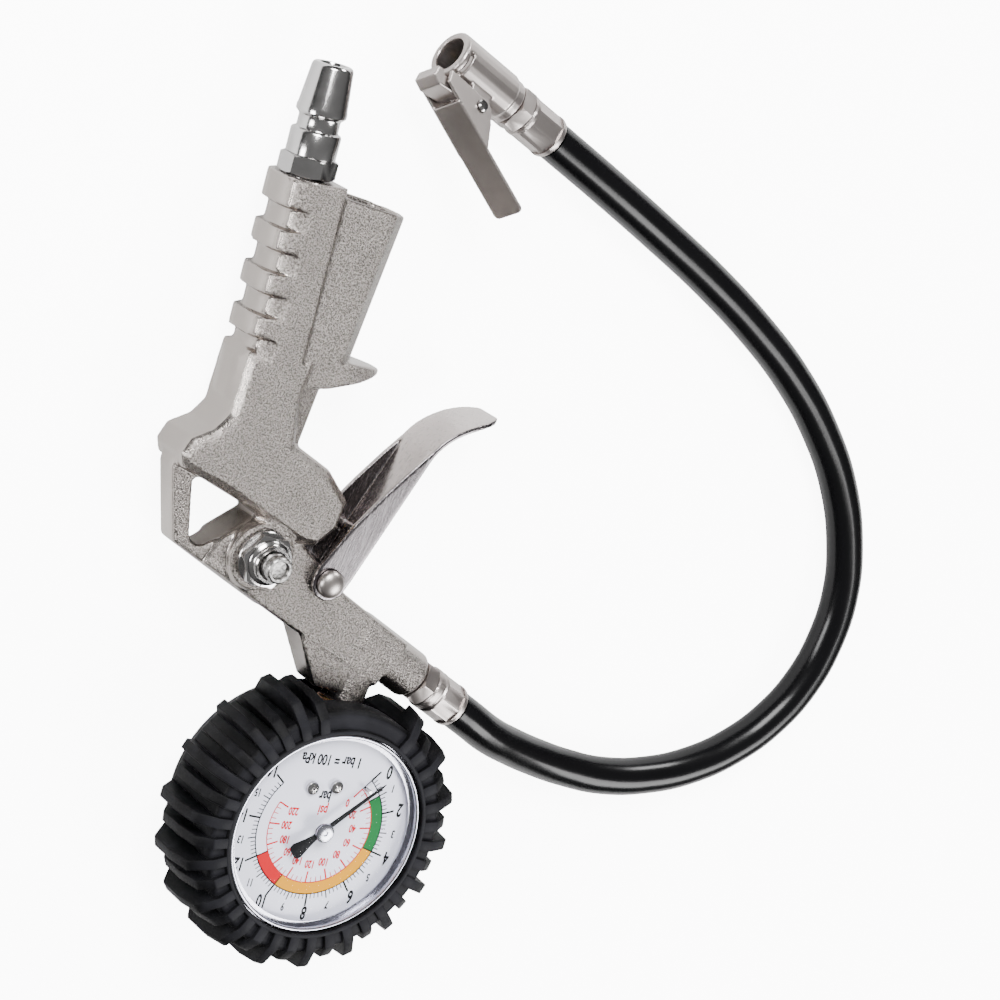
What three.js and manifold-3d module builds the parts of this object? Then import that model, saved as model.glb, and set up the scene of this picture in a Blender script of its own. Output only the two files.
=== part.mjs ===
// Pistol-type tyre inflator with a dial gauge, a free rubber hose and a clip-on chuck.
// Millimetres, +Z up. The tool lies on its side with the dial facing up.
// Tool frame: the gauge axis is x = y = 0, the casting's mid-plane is z = 0, +Y runs from
// the gauge to the air inlet and +X towards the hose. The last lines move the whole group
// so that the origin is the bottom centre of the tool's box, without its hose and chuck.
import Module from 'manifold-3d';
import * as THREE from 'three';
import { mergeVertices } from 'three/addons/utils/BufferGeometryUtils.js';

const wasm = await Module();
wasm.setup();

// ---------------------------------------------------------------- driving dimensions
const GAUGE_SIDES = 36;                // facets of the gauge's round pieces
const GAP = 0.3;                       // clearance between neighbouring pieces
const FLOOR_Z = -14;                   // the surface that the tool lies on

// gauge
const CASE_RADIUS = 31.5;
const CASE_WALL = 1.2;
const CASE_BACK_Z = -12.1;
const CASE_FRONT_Z = 16;
const DIAL_TOP_Z = 14.6;
const DIAL_THICKNESS = 0.6;
const DIAL_RADIUS = CASE_RADIUS - 1.7;
const LENS_RADIUS = CASE_RADIUS - 2.9;
const LENS_BOTTOM_Z = 17;
const LENS_THICKNESS = 1.5;
const BEZEL_WIDTH = 1.2;
const BEZEL_HEIGHT = 2.6;
const POINTER_Z = 16.6;
const POINTER_THICKNESS = 0.5;
const POINTER_REACH = 22.8;
const POINTER_REST_DEG = 50;           // on its stop, just past the zero mark
const SECTOR_PIVOT_Y = -11;
const BOURDON_RADIUS = 22;
const BOURDON_HEIGHT = 8;

// rubber boot
const BOOT_WALL = 5.2;
const BOOT_FRONT_Z = 20;
const BOOT_VALLEY_Z = 18.7;            // between the lugs' ridges
const BOOT_LIP_RADIUS = CASE_RADIUS - 1.1;
const RIDGE_START = CASE_RADIUS + 1.5;
const LUG_COUNT = 36;
const LUG_WIDTH = 3.2;
const LONG_LUG_REACH = 6.6;
const SHORT_LUG_REACH = 4.4;
const LUGS_LEFT_OUT = [7, 8, 9, 10];

// casting
const HANDLE_END = [-72.7, 172.5];     // centre of the handle's inlet face
const HANDLE_LEAN_DEG = 7.5;
const HANDLE_WIDTH = 17.6;
const BODY_THICKNESS = 20;             // handle, trunk and valve block
const ARM_THICKNESS = 13;
const FRAME_THICKNESS = 9;
const GRIP_PITCH = 12;
const GRIP_DEPTH = 2;
const INLET_BORE_RADIUS = 5.6;
const INLET_BORE_DEPTH = 12;
const AIRWAY_RADIUS = 3.4;
const OUTLET = [20.9, 45.9];           // centre of the hose outlet face
const OUTLET_DEG = -19;
const OUTLET_RADIUS = 7.2;
const OUTLET_BORE_RADIUS = 4.8;
const PORT_FACE_Y = 34.2;
const PORT_RADIUS = 6.8;
const PORT_BORE_RADIUS = 4.9;
const PORT_BORE_DEPTH = 11.5;

// trigger and its valve
const PIVOT = [-23.4, 68.2];
const PIVOT_RADIUS = 2;
const TRIGGER_SHEET = 1.5;
const TRIGGER_SIDE_GAP = 1;            // between each flange and the arm
const TRIGGER_WIDTH = ARM_THICKNESS + 2 * (TRIGGER_SHEET + TRIGGER_SIDE_GAP);
const TRIGGER_WEB = [-15.2, 81.8];     // where the push pin meets the trigger's inner face
const VALVE_DEG = -15;                 // the valve's axis in the XY plane, pointing out
const NOSE_DEPTH = 12.2;               // from the trigger's inner face to the casting's nose
const CHAMBER_RADIUS = 4.8;
const CHAMBER_DEPTH = 44;
const STEM_RADIUS = 1.9;
const STEM_ROD_RADIUS = 1.2;

// bleed valve
const BLEED = [-47, 70.3];
const BLEED_BOSS_RADIUS = 10;
const BLEED_BOSS_Z = 9;
const BLEED_BORE_RADIUS = 4.2;
const BLEED_FLATS = 14;
const BUTTON_RADIUS = 3.9;
const BUTTON_TOP_Z = 20;
const BUTTON_TRAVEL = 2;

// inlet nipple, hose and fittings
const NIPPLE_FLATS = 14;
const HOSE_RADIUS = 5.75;
const HOSE_STEPS = 36;
const FERRULE_RADIUS = 6.5;
const FERRULE_LENGTH = 13.4;
const BARB_RADIUS = 3.4;
const BARB_BORE_RADIUS = 2;
const FITTING_FLATS = 12;
const FITTING_HEX_LENGTH = 4.6;

// chuck
const CHUCK_MOUTH = [-40, 216.4, -6.7];
const CHUCK_DEG = -16.5;               // its axis in the XY plane, from mouth to hose
const CHUCK_LEVER_SIDE = [-0.236, -0.796, 0.557];
const CHUCK_RADIUS = 7.2;
const CHUCK_MOUTH_RADIUS = 5;
const CHUCK_LENGTH = 25;
const CHUCK_THREAD_RADIUS = 4;         // of the bore that takes the hose fitting
const CHUCK_PIVOT = [11.4, 12];        // along the chuck's axis, and out to the lever's side
const CHUCK_BLADE_DEG = 27.6;

// The hose's centre line between its two ferrules, on the floor past its first bend.
const HOSE_ROUTE = [
  [45.2, 37.5, -0.2], [55.4, 33.9, -1.9], [66.4, 31.3, -4.4], [78.5, 29.2, -6.7],
  [91, 27.9, -8], [105.6, 28, -8.25], [122, 31.4, -8.25], [137.2, 37.8, -8.25],
  [150, 47, -8.25], [160, 58.6, -8.25], [166.4, 72, -8.25], [168.8, 87, -8.25],
  [167.2, 102.5, -8.25], [161.2, 117.6, -8.25], [149.8, 134.4, -8.25],
  [134.3, 149.2, -8.25], [116.4, 161.6, -8.25], [96.3, 171.9, -8.25],
  [74.2, 181, -8.25], [50.6, 189.1, -8.1], [26, 196.8, -7.2],
];

// ---------------------------------------------------------------- materials
const material = (color, roughness, metalness) =>
  new THREE.MeshStandardMaterial({ color, roughness, metalness });
const NICKEL = material(0xb9b3aa, 0.45, 1);
const CHROME = material(0xd6d5d3, 0.14, 1);
const STEEL = material(0xaeb0b4, 0.3, 1);
const BRASS = material(0xc09a52, 0.3, 1);
const COPPER = material(0xb5734a, 0.35, 1);
const RUBBER = material(0x17181b, 0.8, 0);
const HOSE_RUBBER = material(0x101114, 0.3, 0);
const DIAL_WHITE = material(0xdfe3ee, 0.6, 0);
const BLACK_PAINT = material(0x1b1c20, 0.5, 0);
const CLEAR = material(0xe8f0f4, 0.05, 0);

// ---------------------------------------------------------------- solids
function signedVolume(position, index) {
  const corner = [new THREE.Vector3(), new THREE.Vector3(), new THREE.Vector3()];
  let sum = 0;
  for (let i = 0; i < index.length; i += 3) {
    corner.forEach((point, k) => point.fromArray(position, 3 * index[i + k]));
    sum += corner[0].dot(corner[1].clone().cross(corner[2]));
  }
  return sum;
}

// Merge shared vertices, drop triangles without area and turn every face outwards.
function solid(geometry) {
  const plain = geometry.clone();
  plain.deleteAttribute('normal');
  plain.deleteAttribute('uv');
  const merged = mergeVertices(plain, 1e-4);
  const position = merged.attributes.position.array;
  const index = [];
  for (let i = 0; i < merged.index.count; i += 3) {
    const [a, b, c] = [0, 1, 2].map((k) => merged.index.getX(i + k));
    if (a !== b && b !== c && c !== a) {
      index.push(a, b, c);
    }
  }
  if (signedVolume(position, index) < 0) {
    index.reverse();
  }
  return new wasm.Manifold(new wasm.Mesh({
    numProp: 3, vertProperties: new Float32Array(position), triVerts: new Uint32Array(index),
  }));
}

function join(...parts) {
  return parts.reduce((whole, part) => whole.add(part));
}

function cut(base, ...tools) {
  return tools.reduce((rest, tool) => rest.subtract(tool), base);
}

function piece(name, body, look) {
  const source = body.getMesh();
  const geometry = new THREE.BufferGeometry();
  geometry.setAttribute('position', new THREE.BufferAttribute(source.vertProperties, 3));
  geometry.setIndex(new THREE.BufferAttribute(source.triVerts, 1));
  geometry.computeVertexNormals();
  const mesh = new THREE.Mesh(geometry, look);
  mesh.name = name;
  return mesh;
}

function outline(points) {
  return new THREE.Shape(points.map(([x, y]) => new THREE.Vector2(x, y)));
}

// A plate with the outline in XY from z = bottom to top, and chamfered rims.
function plate(shape, bottom, top, chamfer = 0) {
  const geometry = new THREE.ExtrudeGeometry(shape, {
    depth: top - bottom - 2 * chamfer, steps: 1, curveSegments: 6,
    bevelEnabled: chamfer > 0, bevelThickness: chamfer, bevelSize: chamfer,
    bevelOffset: -chamfer, bevelSegments: 1,
  });
  return geometry.translate(0, 0, bottom + chamfer);
}

const plateSolid = (points, bottom, top, chamfer) =>
  solid(plate(outline(points), bottom, top, chamfer));

// Solids of revolution: a profile of [radius, height] about +Z, or about another axis.
function turned(profile, sides = 18) {
  const points = profile.map(([radius, height]) => new THREE.Vector2(radius, height));
  return new THREE.LatheGeometry(points, sides).rotateX(Math.PI / 2);
}

const turnedX = (profile, sides) => turned(profile, sides).rotateY(Math.PI / 2);
const turnedY = (profile, sides) => turned(profile, sides).rotateX(-Math.PI / 2);

const bar = (radius, low, high) => [[0, low], [radius, low], [radius, high], [0, high]];
const ring = (inner, outer, low, high) =>
  [[inner, low], [outer, low], [outer, high], [inner, high], [inner, low]];

function block(low, high) {
  const size = high.map((value, k) => value - low[k]);
  const middle = high.map((value, k) => (value + low[k]) / 2);
  return new THREE.BoxGeometry(...size).translate(...middle);
}

// A hexagon along +X, across its flats, with its corners turned off.
function hexX(flats, low, high) {
  const corner = flats / Math.sqrt(3);
  const hex = new THREE.CylinderGeometry(corner, corner, high - low, 6);
  const rounded = turnedX([[0, low], [corner - 0.7, low], [corner, low + 0.5],
    [corner, high - 0.5], [corner - 0.7, high], [0, high]]);
  return solid(hex.rotateZ(-Math.PI / 2).translate((low + high) / 2, 0, 0))
    .intersect(solid(rounded));
}

// A coil spring about +Z, with square-cut wire.
function coil(radius, wire, low, high, turns, stepsPerTurn = 9) {
  const points = [];
  const steps = turns * stepsPerTurn;
  for (let i = 0; i <= steps; i++) {
    const angle = (2 * Math.PI * i) / stepsPerTurn;
    const height = low + wire + ((high - low - 2 * wire) * i) / steps;
    points.push(new THREE.Vector3(radius * Math.cos(angle), radius * Math.sin(angle), height));
  }
  return sweep(points, wire, 4, steps);
}

// A round bar swept along the smooth curve through the points.
function sweep(points, radius, sides, steps) {
  const section = [];
  for (let i = 0; i < sides; i++) {
    const angle = (2 * Math.PI * i) / sides;
    section.push(new THREE.Vector2(radius * Math.cos(angle), radius * Math.sin(angle)));
  }
  return new THREE.ExtrudeGeometry(new THREE.Shape(section), {
    steps, extrudePath: new THREE.CatmullRomCurve3(points),
  });
}

const radians = THREE.MathUtils.degToRad;

// A group whose +X axis lies in the XY plane at the angle, from the point.
function along([x, y], degrees, ...meshes) {
  const group = new THREE.Group();
  group.position.set(x, y, 0);
  group.rotation.z = radians(degrees);
  group.add(...meshes);
  return group;
}

// The same placement, for a geometry that the casting is joined with or cut by.
const placed = (geometry, [x, y], degrees) =>
  solid(geometry.rotateZ(radians(degrees)).translate(x, y, 0));

const ahead = ([x, y], degrees, distance) =>
  [x + distance * Math.cos(radians(degrees)), y + distance * Math.sin(radians(degrees))];

// ---------------------------------------------------------------- casting
const HALF_BODY = BODY_THICKNESS / 2;
const HALF_ARM = ARM_THICKNESS / 2;
const HALF_FRAME = FRAME_THICKNESS / 2;
const HANDLE_DEG = 90 + HANDLE_LEAN_DEG;
const HANDLE_LENGTH = 62;

// The grip's section, as [z, y]: a flat front and a back rounded from face to face.
function gripSection(backInset, faceInset) {
  const back = HANDLE_WIDTH / 2 - backInset;
  const front = -HANDLE_WIDTH / 2;
  const face = HALF_BODY - faceInset;
  const points = [[-face, front + 0.8], [-face + 0.8, front], [face - 0.8, front],
    [face, front + 0.8]];
  for (const side of [1, -1]) {
    for (let i = 0; i <= 4; i++) {
      const turn = radians(side > 0 ? i * 22.5 : 90 - i * 22.5);
      points.push([side * (face - 7 + 7 * Math.cos(turn)), back - 5.6 + 5.6 * Math.sin(turn)]);
    }
  }
  return outline(points);
}

// The handle runs along -X of its own frame, from its inlet face at x = 0. +Y is its back.
function handleSolid() {
  const stock = plate(gripSection(0, 0), -HANDLE_LENGTH, 0).rotateY(Math.PI / 2);
  let handle = solid(stock);
  for (let i = 0; i < 4; i++) {
    const start = -8 - i * GRIP_PITCH;
    handle = handle.subtract(gripGroove(start - 6, start));
  }
  return handle;
}

// A grip groove goes around the back of the handle, onto both of its faces.
function gripGroove(low, high) {
  const half = HANDLE_WIDTH / 2;
  const outer = block([low, half - 8, -HALF_BODY - 1], [high, half + 1, HALF_BODY + 1]);
  const core = plate(gripSection(GRIP_DEPTH, 0.9), low - 1, high + 1).rotateY(Math.PI / 2);
  return solid(outer).subtract(solid(core));
}

// A hollow, open boss in front of the handle, with a round front.
const BOSS_TOP_Y = 171.2;
const BOSS_BOTTOM_Y = 127;
const BOSS_HALF = 8.6;

function bossShape(inset) {
  const edge = BOSS_HALF - inset;
  return outline([[-66, -edge], [-46, -edge], [-41.5 - inset, -5 + inset / 2],
    [-39.8 - inset, 0], [-41.5 - inset, 5 - inset / 2], [-46, edge], [-66, edge]]);
}

function bossSolid() {
  const upright = (shape, low, high) => solid(plate(shape, low, high)
    .rotateX(Math.PI / 2).scale(1, -1, 1));
  const shell = upright(bossShape(0), BOSS_BOTTOM_Y, BOSS_TOP_Y);
  const hollow = upright(bossShape(1.7), BOSS_BOTTOM_Y + 7, BOSS_TOP_Y + 1);
  const web = solid(block([-90, 100, -20], [-61, 200, 20]));
  return shell.subtract(hollow.subtract(web));
}

function hookSolid() {
  const side = plateSolid([[-64, 127.6], [-36, 128.9], [-29.6, 128.9], [-29, 127.4],
    [-46, 119.8], [-64, 116]], -8, 8, 0.8);
  const plan = turnedY([[0, 100], [17, 100], [17, 140], [0, 140]], 32);
  const nose = solid(plan.scale(1, 1, 0.5).translate(-46, 0, 0));
  return side.intersect(join(nose, solid(block([-70, 100, -20], [-46, 140, 20]))));
}

function trunkSolid() {
  const body = plateSolid([[-74, 124], [-72.6, 106], [-75.2, 101.2], [-81, 97],
    [-82.4, 92], [-80.5, 88.4], [-66, 85.4], [-37, 76.6], [-31.6, 76.8], [-27, 83.4],
    [-27, 91.6], [-36, 98.6], [-49.5, 103], [-53.4, 116], [-53, 127]],
  -HALF_BODY, HALF_BODY, 2.4);
  const front = outline([[-58, 9.6], [-47.4, 5.4], [-45.4, 2], [-45.4, -2], [-47.4, -5.4],
    [-58, -9.6]]);
  const wedge = plate(front, 99.5, 124).rotateX(Math.PI / 2).scale(1, -1, 1);
  return join(body, solid(wedge));
}

function frameSolid() {
  const bars = plateSolid([[-81.4, 93], [-81.4, 87.4], [-72.7, 67.2], [-52.8, 60.3],
    [-40, 56], [-34, 76], [-36, 82], [-60, 92]], -HALF_FRAME, HALF_FRAME, 0.8);
  const window = plateSolid([[-73.6, 85], [-72.6, 86.6], [-52.4, 81.6], [-52, 80.2],
    [-63.2, 68.6], [-65.6, 68], [-68.2, 69.6]], -20, 20);
  return [bars, window];
}

function armSolid() {
  const plan = plateSolid([[-62, 63.8], [-29.4, 52.8], [-14, 48], [6, 41.6], [11.6, 56],
    [-14.9, 65.6], [-26, 71.6], [-33.4, 76], [-50, 82], [-60, 72]], -HALF_ARM, HALF_ARM, 0.9);
  const start = ahead(OUTLET, OUTLET_DEG, -26);
  const outlet = turnedX([[0, 0], [OUTLET_RADIUS, 0], [OUTLET_RADIUS, 24.6],
    [OUTLET_RADIUS - 1.4, 26], [0, 26]], 28);
  const ear = turned(bar(4, -HALF_ARM, HALF_ARM), 20).translate(...PIVOT, 0);
  const boss = turned([[0, -HALF_ARM], [BLEED_BOSS_RADIUS - 1, -HALF_ARM],
    [BLEED_BOSS_RADIUS, -HALF_ARM + 1], [BLEED_BOSS_RADIUS, BLEED_BOSS_Z - 0.6],
    [BLEED_BOSS_RADIUS - 0.6, BLEED_BOSS_Z], [0, BLEED_BOSS_Z]], 24).translate(...BLEED, 0);
  return join(plan, placed(outlet, start, OUTLET_DEG), solid(ear), solid(boss));
}

function portSolid() {
  const column = turnedY([[0, PORT_FACE_Y], [PORT_RADIUS - 1, PORT_FACE_Y],
    [PORT_RADIUS, PORT_FACE_Y + 1], [PORT_RADIUS, 50], [0, 50]], 28);
  const gusset = plateSolid([[-26, 55], [-24.6, 51.6], [-13.4, 37.6], [-4, 37.6], [-4, 55]],
    -HALF_ARM + 0.6, HALF_ARM - 0.6, 0.6);
  return join(solid(column), gusset);
}

// Bores of the casting: the inlet and its airway, the valve chamber, the bleed valve's
// bore, the arm's airway with the hose outlet, the gauge port and the pivot hole.
function boreSolids() {
  const handleAxis = (profile) => placed(turnedX(profile, 20), HANDLE_END, HANDLE_DEG);
  const crossing = ahead(TRIGGER_WEB, VALVE_DEG, -CHAMBER_DEPTH - 6);
  const airwayLength = Math.hypot(HANDLE_END[0] - crossing[0], HANDLE_END[1] - crossing[1]);
  const arm = Math.hypot(OUTLET[0] - BLEED[0], OUTLET[1] - BLEED[1]);
  const valveOut = ahead(TRIGGER_WEB, VALVE_DEG, -29);
  const link = [valveOut[0] - BLEED[0], valveOut[1] - BLEED[1]];
  const linkDeg = THREE.MathUtils.radToDeg(Math.atan2(link[1], link[0]));
  return [
    handleAxis(bar(INLET_BORE_RADIUS, -INLET_BORE_DEPTH, 5)),
    handleAxis(bar(AIRWAY_RADIUS, -airwayLength - 1, 5)),
    placed(turnedX(bar(CHAMBER_RADIUS, -CHAMBER_DEPTH, 5)), TRIGGER_WEB, VALVE_DEG),
    placed(turnedX(bar(2.4, -CHAMBER_DEPTH - 7, 5), 16), TRIGGER_WEB, VALVE_DEG),
    placed(turnedX(bar(2, 0, Math.hypot(...link)), 16), BLEED, linkDeg),
    solid(turned(bar(BLEED_BORE_RADIUS, -4, 20)).translate(...BLEED, 0)),
    placed(turnedX(bar(2.4, -arm, 1), 16), OUTLET, OUTLET_DEG),
    placed(turnedX(bar(OUTLET_BORE_RADIUS, -9, 1)), OUTLET, OUTLET_DEG),
    solid(turnedY(bar(PORT_BORE_RADIUS, 30, PORT_FACE_Y + PORT_BORE_DEPTH))),
    solid(turnedY(bar(2, 30, 53), 16)),
    solid(turned(bar(PIVOT_RADIUS + GAP, -20, 20), 16).translate(...PIVOT, 0)),
  ];
}

function bodyCasting() {
  const handle = placedSolid(handleSolid(), HANDLE_END, HANDLE_DEG);
  const [bars, window] = frameSolid();
  const body = join(handle, bossSolid(), hookSolid(), trunkSolid(), bars, armSolid(),
    portSolid());
  return piece('body_casting', cut(body, window, ...boreSolids()), NICKEL);
}

// A solid that was cut in its own frame, moved to its place in the tool frame.
function placedSolid(body, [x, y], degrees) {
  return body.rotate([0, 0, degrees]).translate([x, y, 0]);
}

// ---------------------------------------------------------------- inlet nipple
function inletNipple() {
  const root = INLET_BORE_RADIUS - 0.4;
  const stem = solid(turnedX([[0, 2 - INLET_BORE_DEPTH], [root - 0.3, 2 - INLET_BORE_DEPTH],
    [root, 2.6 - INLET_BORE_DEPTH], [root, GAP], [0, GAP]]));
  const hex = hexX(NIPPLE_FLATS, GAP, 5.7);
  const plug = solid(turnedX([[0, 5], [6.4, 5], [7, 5.7], [7, 12.4], [5.8, 13], [5.8, 16.4],
    [7, 17.4], [7, 18.8], [5.6, 30.4], [5.2, 30.9], [0, 30.9]]));
  const bore = solid(turnedX(bar(3.4, -12, 33), 16));
  return piece('inlet_nipple', cut(join(stem, hex, plug), bore), CHROME);
}

// ---------------------------------------------------------------- gauge
// Stations along Y from the gauge's axis, where the case meets the casting's port.
const WASHER_Y = CASE_RADIUS + 0.9;
const PORT_Y = CASE_RADIUS + 2.7;
const GAUGE_Y = PORT_FACE_Y - PORT_Y;
const STEM_THREAD_RADIUS = PORT_BORE_RADIUS - GAP;

function gaugeCase() {
  const inner = CASE_RADIUS - CASE_WALL;
  const cup = solid(turned([[0, CASE_BACK_Z], [CASE_RADIUS - 1, CASE_BACK_Z],
    [CASE_RADIUS, CASE_BACK_Z + 1], [CASE_RADIUS, CASE_FRONT_Z], [inner, CASE_FRONT_Z],
    [inner, CASE_BACK_Z + CASE_WALL], [0, CASE_BACK_Z + CASE_WALL]],
  GAUGE_SIDES));
  const ledge = ring(inner - 1.6, inner + 0.2, DIAL_TOP_Z - 3, DIAL_TOP_Z - DIAL_THICKNESS - GAP);
  const hole = solid(turnedY(bar(6.4, 20, CASE_RADIUS + 8)));
  return piece('gauge_case', cut(join(cup, solid(turned(ledge, GAUGE_SIDES))), hole), STEEL);
}

function gaugeStem() {
  const socket = solid(block([-7, 20, -6], [7, CASE_RADIUS - 3.1, 5]));
  const neck = solid(turnedY([[0, CASE_RADIUS - 4.5], [6, CASE_RADIUS - 4.5],
    [6, WASHER_Y - GAP], [STEM_THREAD_RADIUS, WASHER_Y - GAP],
    [STEM_THREAD_RADIUS, PORT_Y + PORT_BORE_DEPTH - 1.2],
    [STEM_THREAD_RADIUS - 0.5, PORT_Y + PORT_BORE_DEPTH - 0.6], [0, PORT_Y + PORT_BORE_DEPTH - 0.6]]));
  const bore = solid(turnedY(bar(1.5, 22, PORT_Y + 16), 12));
  return piece('gauge_stem', cut(join(socket, neck), bore), BRASS);
}

function portWasher() {
  const copper = turnedY(ring(PORT_BORE_RADIUS, PORT_BORE_RADIUS + 1.5, WASHER_Y, PORT_Y - GAP), 20);
  return piece('gauge_port_washer', solid(copper), COPPER);
}

// A flattened tube bent into an open ring, fixed in the stem's socket at one end.
function bourdonTube() {
  const points = [];
  const half = BOURDON_HEIGHT / 2;
  for (let degrees = 62; degrees >= -196; degrees -= 6) {
    const angle = radians(degrees);
    points.push([BOURDON_RADIUS * Math.cos(angle), BOURDON_RADIUS * Math.sin(angle)]);
  }
  const inner = points.map(([x, y]) => [x * (1 - 2 / BOURDON_RADIUS), y * (1 - 2 / BOURDON_RADIUS)]);
  return piece('bourdon_tube', plateSolid([...points, ...inner.reverse()], -half, half), BRASS);
}

const FRAME_PLATE = [[-11, -15], [11, -15], [11, 14], [-11, 14]];

function movementFrame() {
  const pillar = (x, y) => solid(turned(bar(1.4, -7, 6), 10).translate(x, y, 0));
  const lower = plateSolid(FRAME_PLATE, -7, -6, 0.2);
  const upper = plateSolid(FRAME_PLATE, 5.2, 6.2, 0.2);
  const pillars = [pillar(-9, 12), pillar(9, 12), pillar(9, -13)];
  const shaftHole = solid(turned(bar(0.8 + GAP, -20, 20), 12));
  const sectorHole = solid(turned(bar(0.8 + GAP, -20, 20), 12).translate(0, SECTOR_PIVOT_Y, 0));
  return piece('movement_frame', cut(join(lower, upper, ...pillars), shaftHole, sectorHole),
    BRASS);
}

// The toothed outline of a gear, or of a part of one.
function toothed(root, tip, teeth, first, last) {
  const points = [];
  const pitch = (last - first) / teeth;
  for (let i = 0; i < teeth; i++) {
    for (const [share, radius] of [[0.1, root], [0.3, tip], [0.6, tip], [0.8, root]]) {
      const angle = radians(first + (i + share) * pitch);
      points.push([radius * Math.cos(angle), radius * Math.sin(angle)]);
    }
  }
  return points;
}

function pinionShaft() {
  const shaft = solid(turned(bar(0.8, -6.8, POINTER_Z - GAP), 12));
  const gear = plateSolid(toothed(0.95, 1.35, 8, 0, 360), -1.4, 1.4);
  return piece('pinion_shaft', join(shaft, gear), STEEL);
}

// The sector turns on its own arbor; the link from the tube's end pulls its lug.
const SECTOR_RADIUS = -SECTOR_PIVOT_Y - 1.35 - GAP;
const TAIL_REACH = 6;
const TAIL_DEG = 128;

function sectorGear() {
  const fan = [[0.6, 0], ...toothed(SECTOR_RADIUS - 0.5, SECTOR_RADIUS, 16, 68, 126), [-0.6, 0]];
  const plateBody = plateSolid(fan, -0.7, 0.7);
  const arbor = solid(turned(bar(0.8, -6.8, 5.9), 12));
  const hub = solid(turned(bar(1.8, -0.9, 0.9), 16));
  const tail = solid(block([0, -0.9, -0.7], [TAIL_REACH + 0.8, 0.9, 0.7])
    .rotateZ(radians(TAIL_DEG)));
  const hole = solid(turned(bar(0.6, -3, 3), 10)
    .translate(...ahead([0, 0], TAIL_DEG, TAIL_REACH), 0));
  const gear = piece('sector_gear', cut(join(plateBody, arbor, hub, tail), hole), BRASS);
  gear.position.y = SECTOR_PIVOT_Y;
  return gear;
}

function sectorLink() {
  const pin = ahead([0, SECTOR_PIVOT_Y], TAIL_DEG, TAIL_REACH);
  const far = [-17, 2.6];
  const middle = [(pin[0] + far[0]) / 2, (pin[1] + far[1]) / 2];
  const length = Math.hypot(far[0] - pin[0], far[1] - pin[1]);
  const strip = block([-length / 2, -0.8, 1], [length / 2, 0.8, 1.5])
    .rotateZ(Math.atan2(far[1] - pin[1], far[0] - pin[0])).translate(...middle, 0);
  const rivet = turned(bar(0.3, -0.9, 1.3), 8).translate(...pin, 0);
  return piece('sector_link', join(solid(strip), solid(rivet)), BRASS);
}

function hairspring() {
  const points = [];
  for (let i = 0; i <= 44; i++) {
    const angle = radians(i * 27);
    const radius = 1.6 + i * 0.1;
    points.push(new THREE.Vector3(radius * Math.cos(angle), radius * Math.sin(angle), 3.2));
  }
  return piece('hairspring', solid(sweep(points, 0.14, 4, 44)), BRASS);
}

const DIAL_SCREWS = [[-7.6, 11.3], [0, 13.1]];
const ZERO_STOP = [10, 14.3];

function dialPlate() {
  const disc = solid(turned(bar(DIAL_RADIUS, DIAL_TOP_Z - DIAL_THICKNESS, DIAL_TOP_Z),
    GAUGE_SIDES));
  const hole = ([x, y], radius) => solid(turned(bar(radius, 5, 20), 12).translate(x, y, 0));
  return piece('dial_plate', cut(disc, hole([0, 0], 1.8),
    ...DIAL_SCREWS.map((place) => hole(place, 1.3)), hole(ZERO_STOP, 0.9)), DIAL_WHITE);
}

function dialScrew(place, number) {
  const head = DIAL_TOP_Z + GAP;
  const low = 6.2 + GAP;
  const pan = solid(turned([[0, low], [1, low], [1, head], [2, head], [1.9, head + 0.7],
    [0, head + 1.3]], 12));
  const slot = (width, length) => solid(block([-length, -width, head + 0.7],
    [length, width, head + 2]));
  const screw = piece(`dial_screw_${number}`, cut(pan, slot(0.2, 1.1), slot(1.1, 0.2)), CHROME);
  screw.position.set(...place, 0);
  return screw;
}

function zeroStop() {
  const pin = turned(bar(0.6, DIAL_TOP_Z - 3, POINTER_Z + POINTER_THICKNESS + 0.4), 10);
  const stop = piece('zero_stop_pin', solid(pin), CHROME);
  stop.position.set(...ZERO_STOP, 0);
  return stop;
}

function pointer() {
  const blade = plateSolid([[-10.9, 0], [-10.4, 2.2], [-9.2, 2.5], [-7, 1.9], [-3, 0.9],
    [2, 0.75], [POINTER_REACH - 2, 0.34], [POINTER_REACH, 0], [POINTER_REACH - 2, -0.34],
    [2, -0.75], [-3, -0.9], [-7, -1.9], [-9.2, -2.5], [-10.4, -2.2]],
  POINTER_Z, POINTER_Z + POINTER_THICKNESS);
  const hub = solid(turned(bar(2.3, POINTER_Z - 0.1, POINTER_Z + 0.9), 20));
  return piece('pointer', join(blade, hub).rotate([0, 0, POINTER_REST_DEG]), BLACK_PAINT);
}

function pointerCap() {
  const low = POINTER_Z + 0.9 + GAP;
  const cap = turned([[0, low], [2.9, low], [2.9, low + 0.5], [2.5, low + 0.8], [0.7, low + 0.8],
    [0.6, low + 0.5], [0, low + 0.5]], 18);
  return piece('pointer_cap', solid(cap), CHROME);
}

function lens() {
  const low = LENS_BOTTOM_Z;
  const high = low + LENS_THICKNESS;
  const disc = turned([[0, low + 2.2], [16, low + 1.8], [24, low + 1], [LENS_RADIUS, low],
    [LENS_RADIUS, high - 0.5], [LENS_RADIUS - 0.6, high + 0.2], [24, high + 1],
    [16, high + 1.8], [0, high + 2.2]], GAUGE_SIDES);
  return piece('lens', solid(disc), CLEAR);
}

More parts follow.
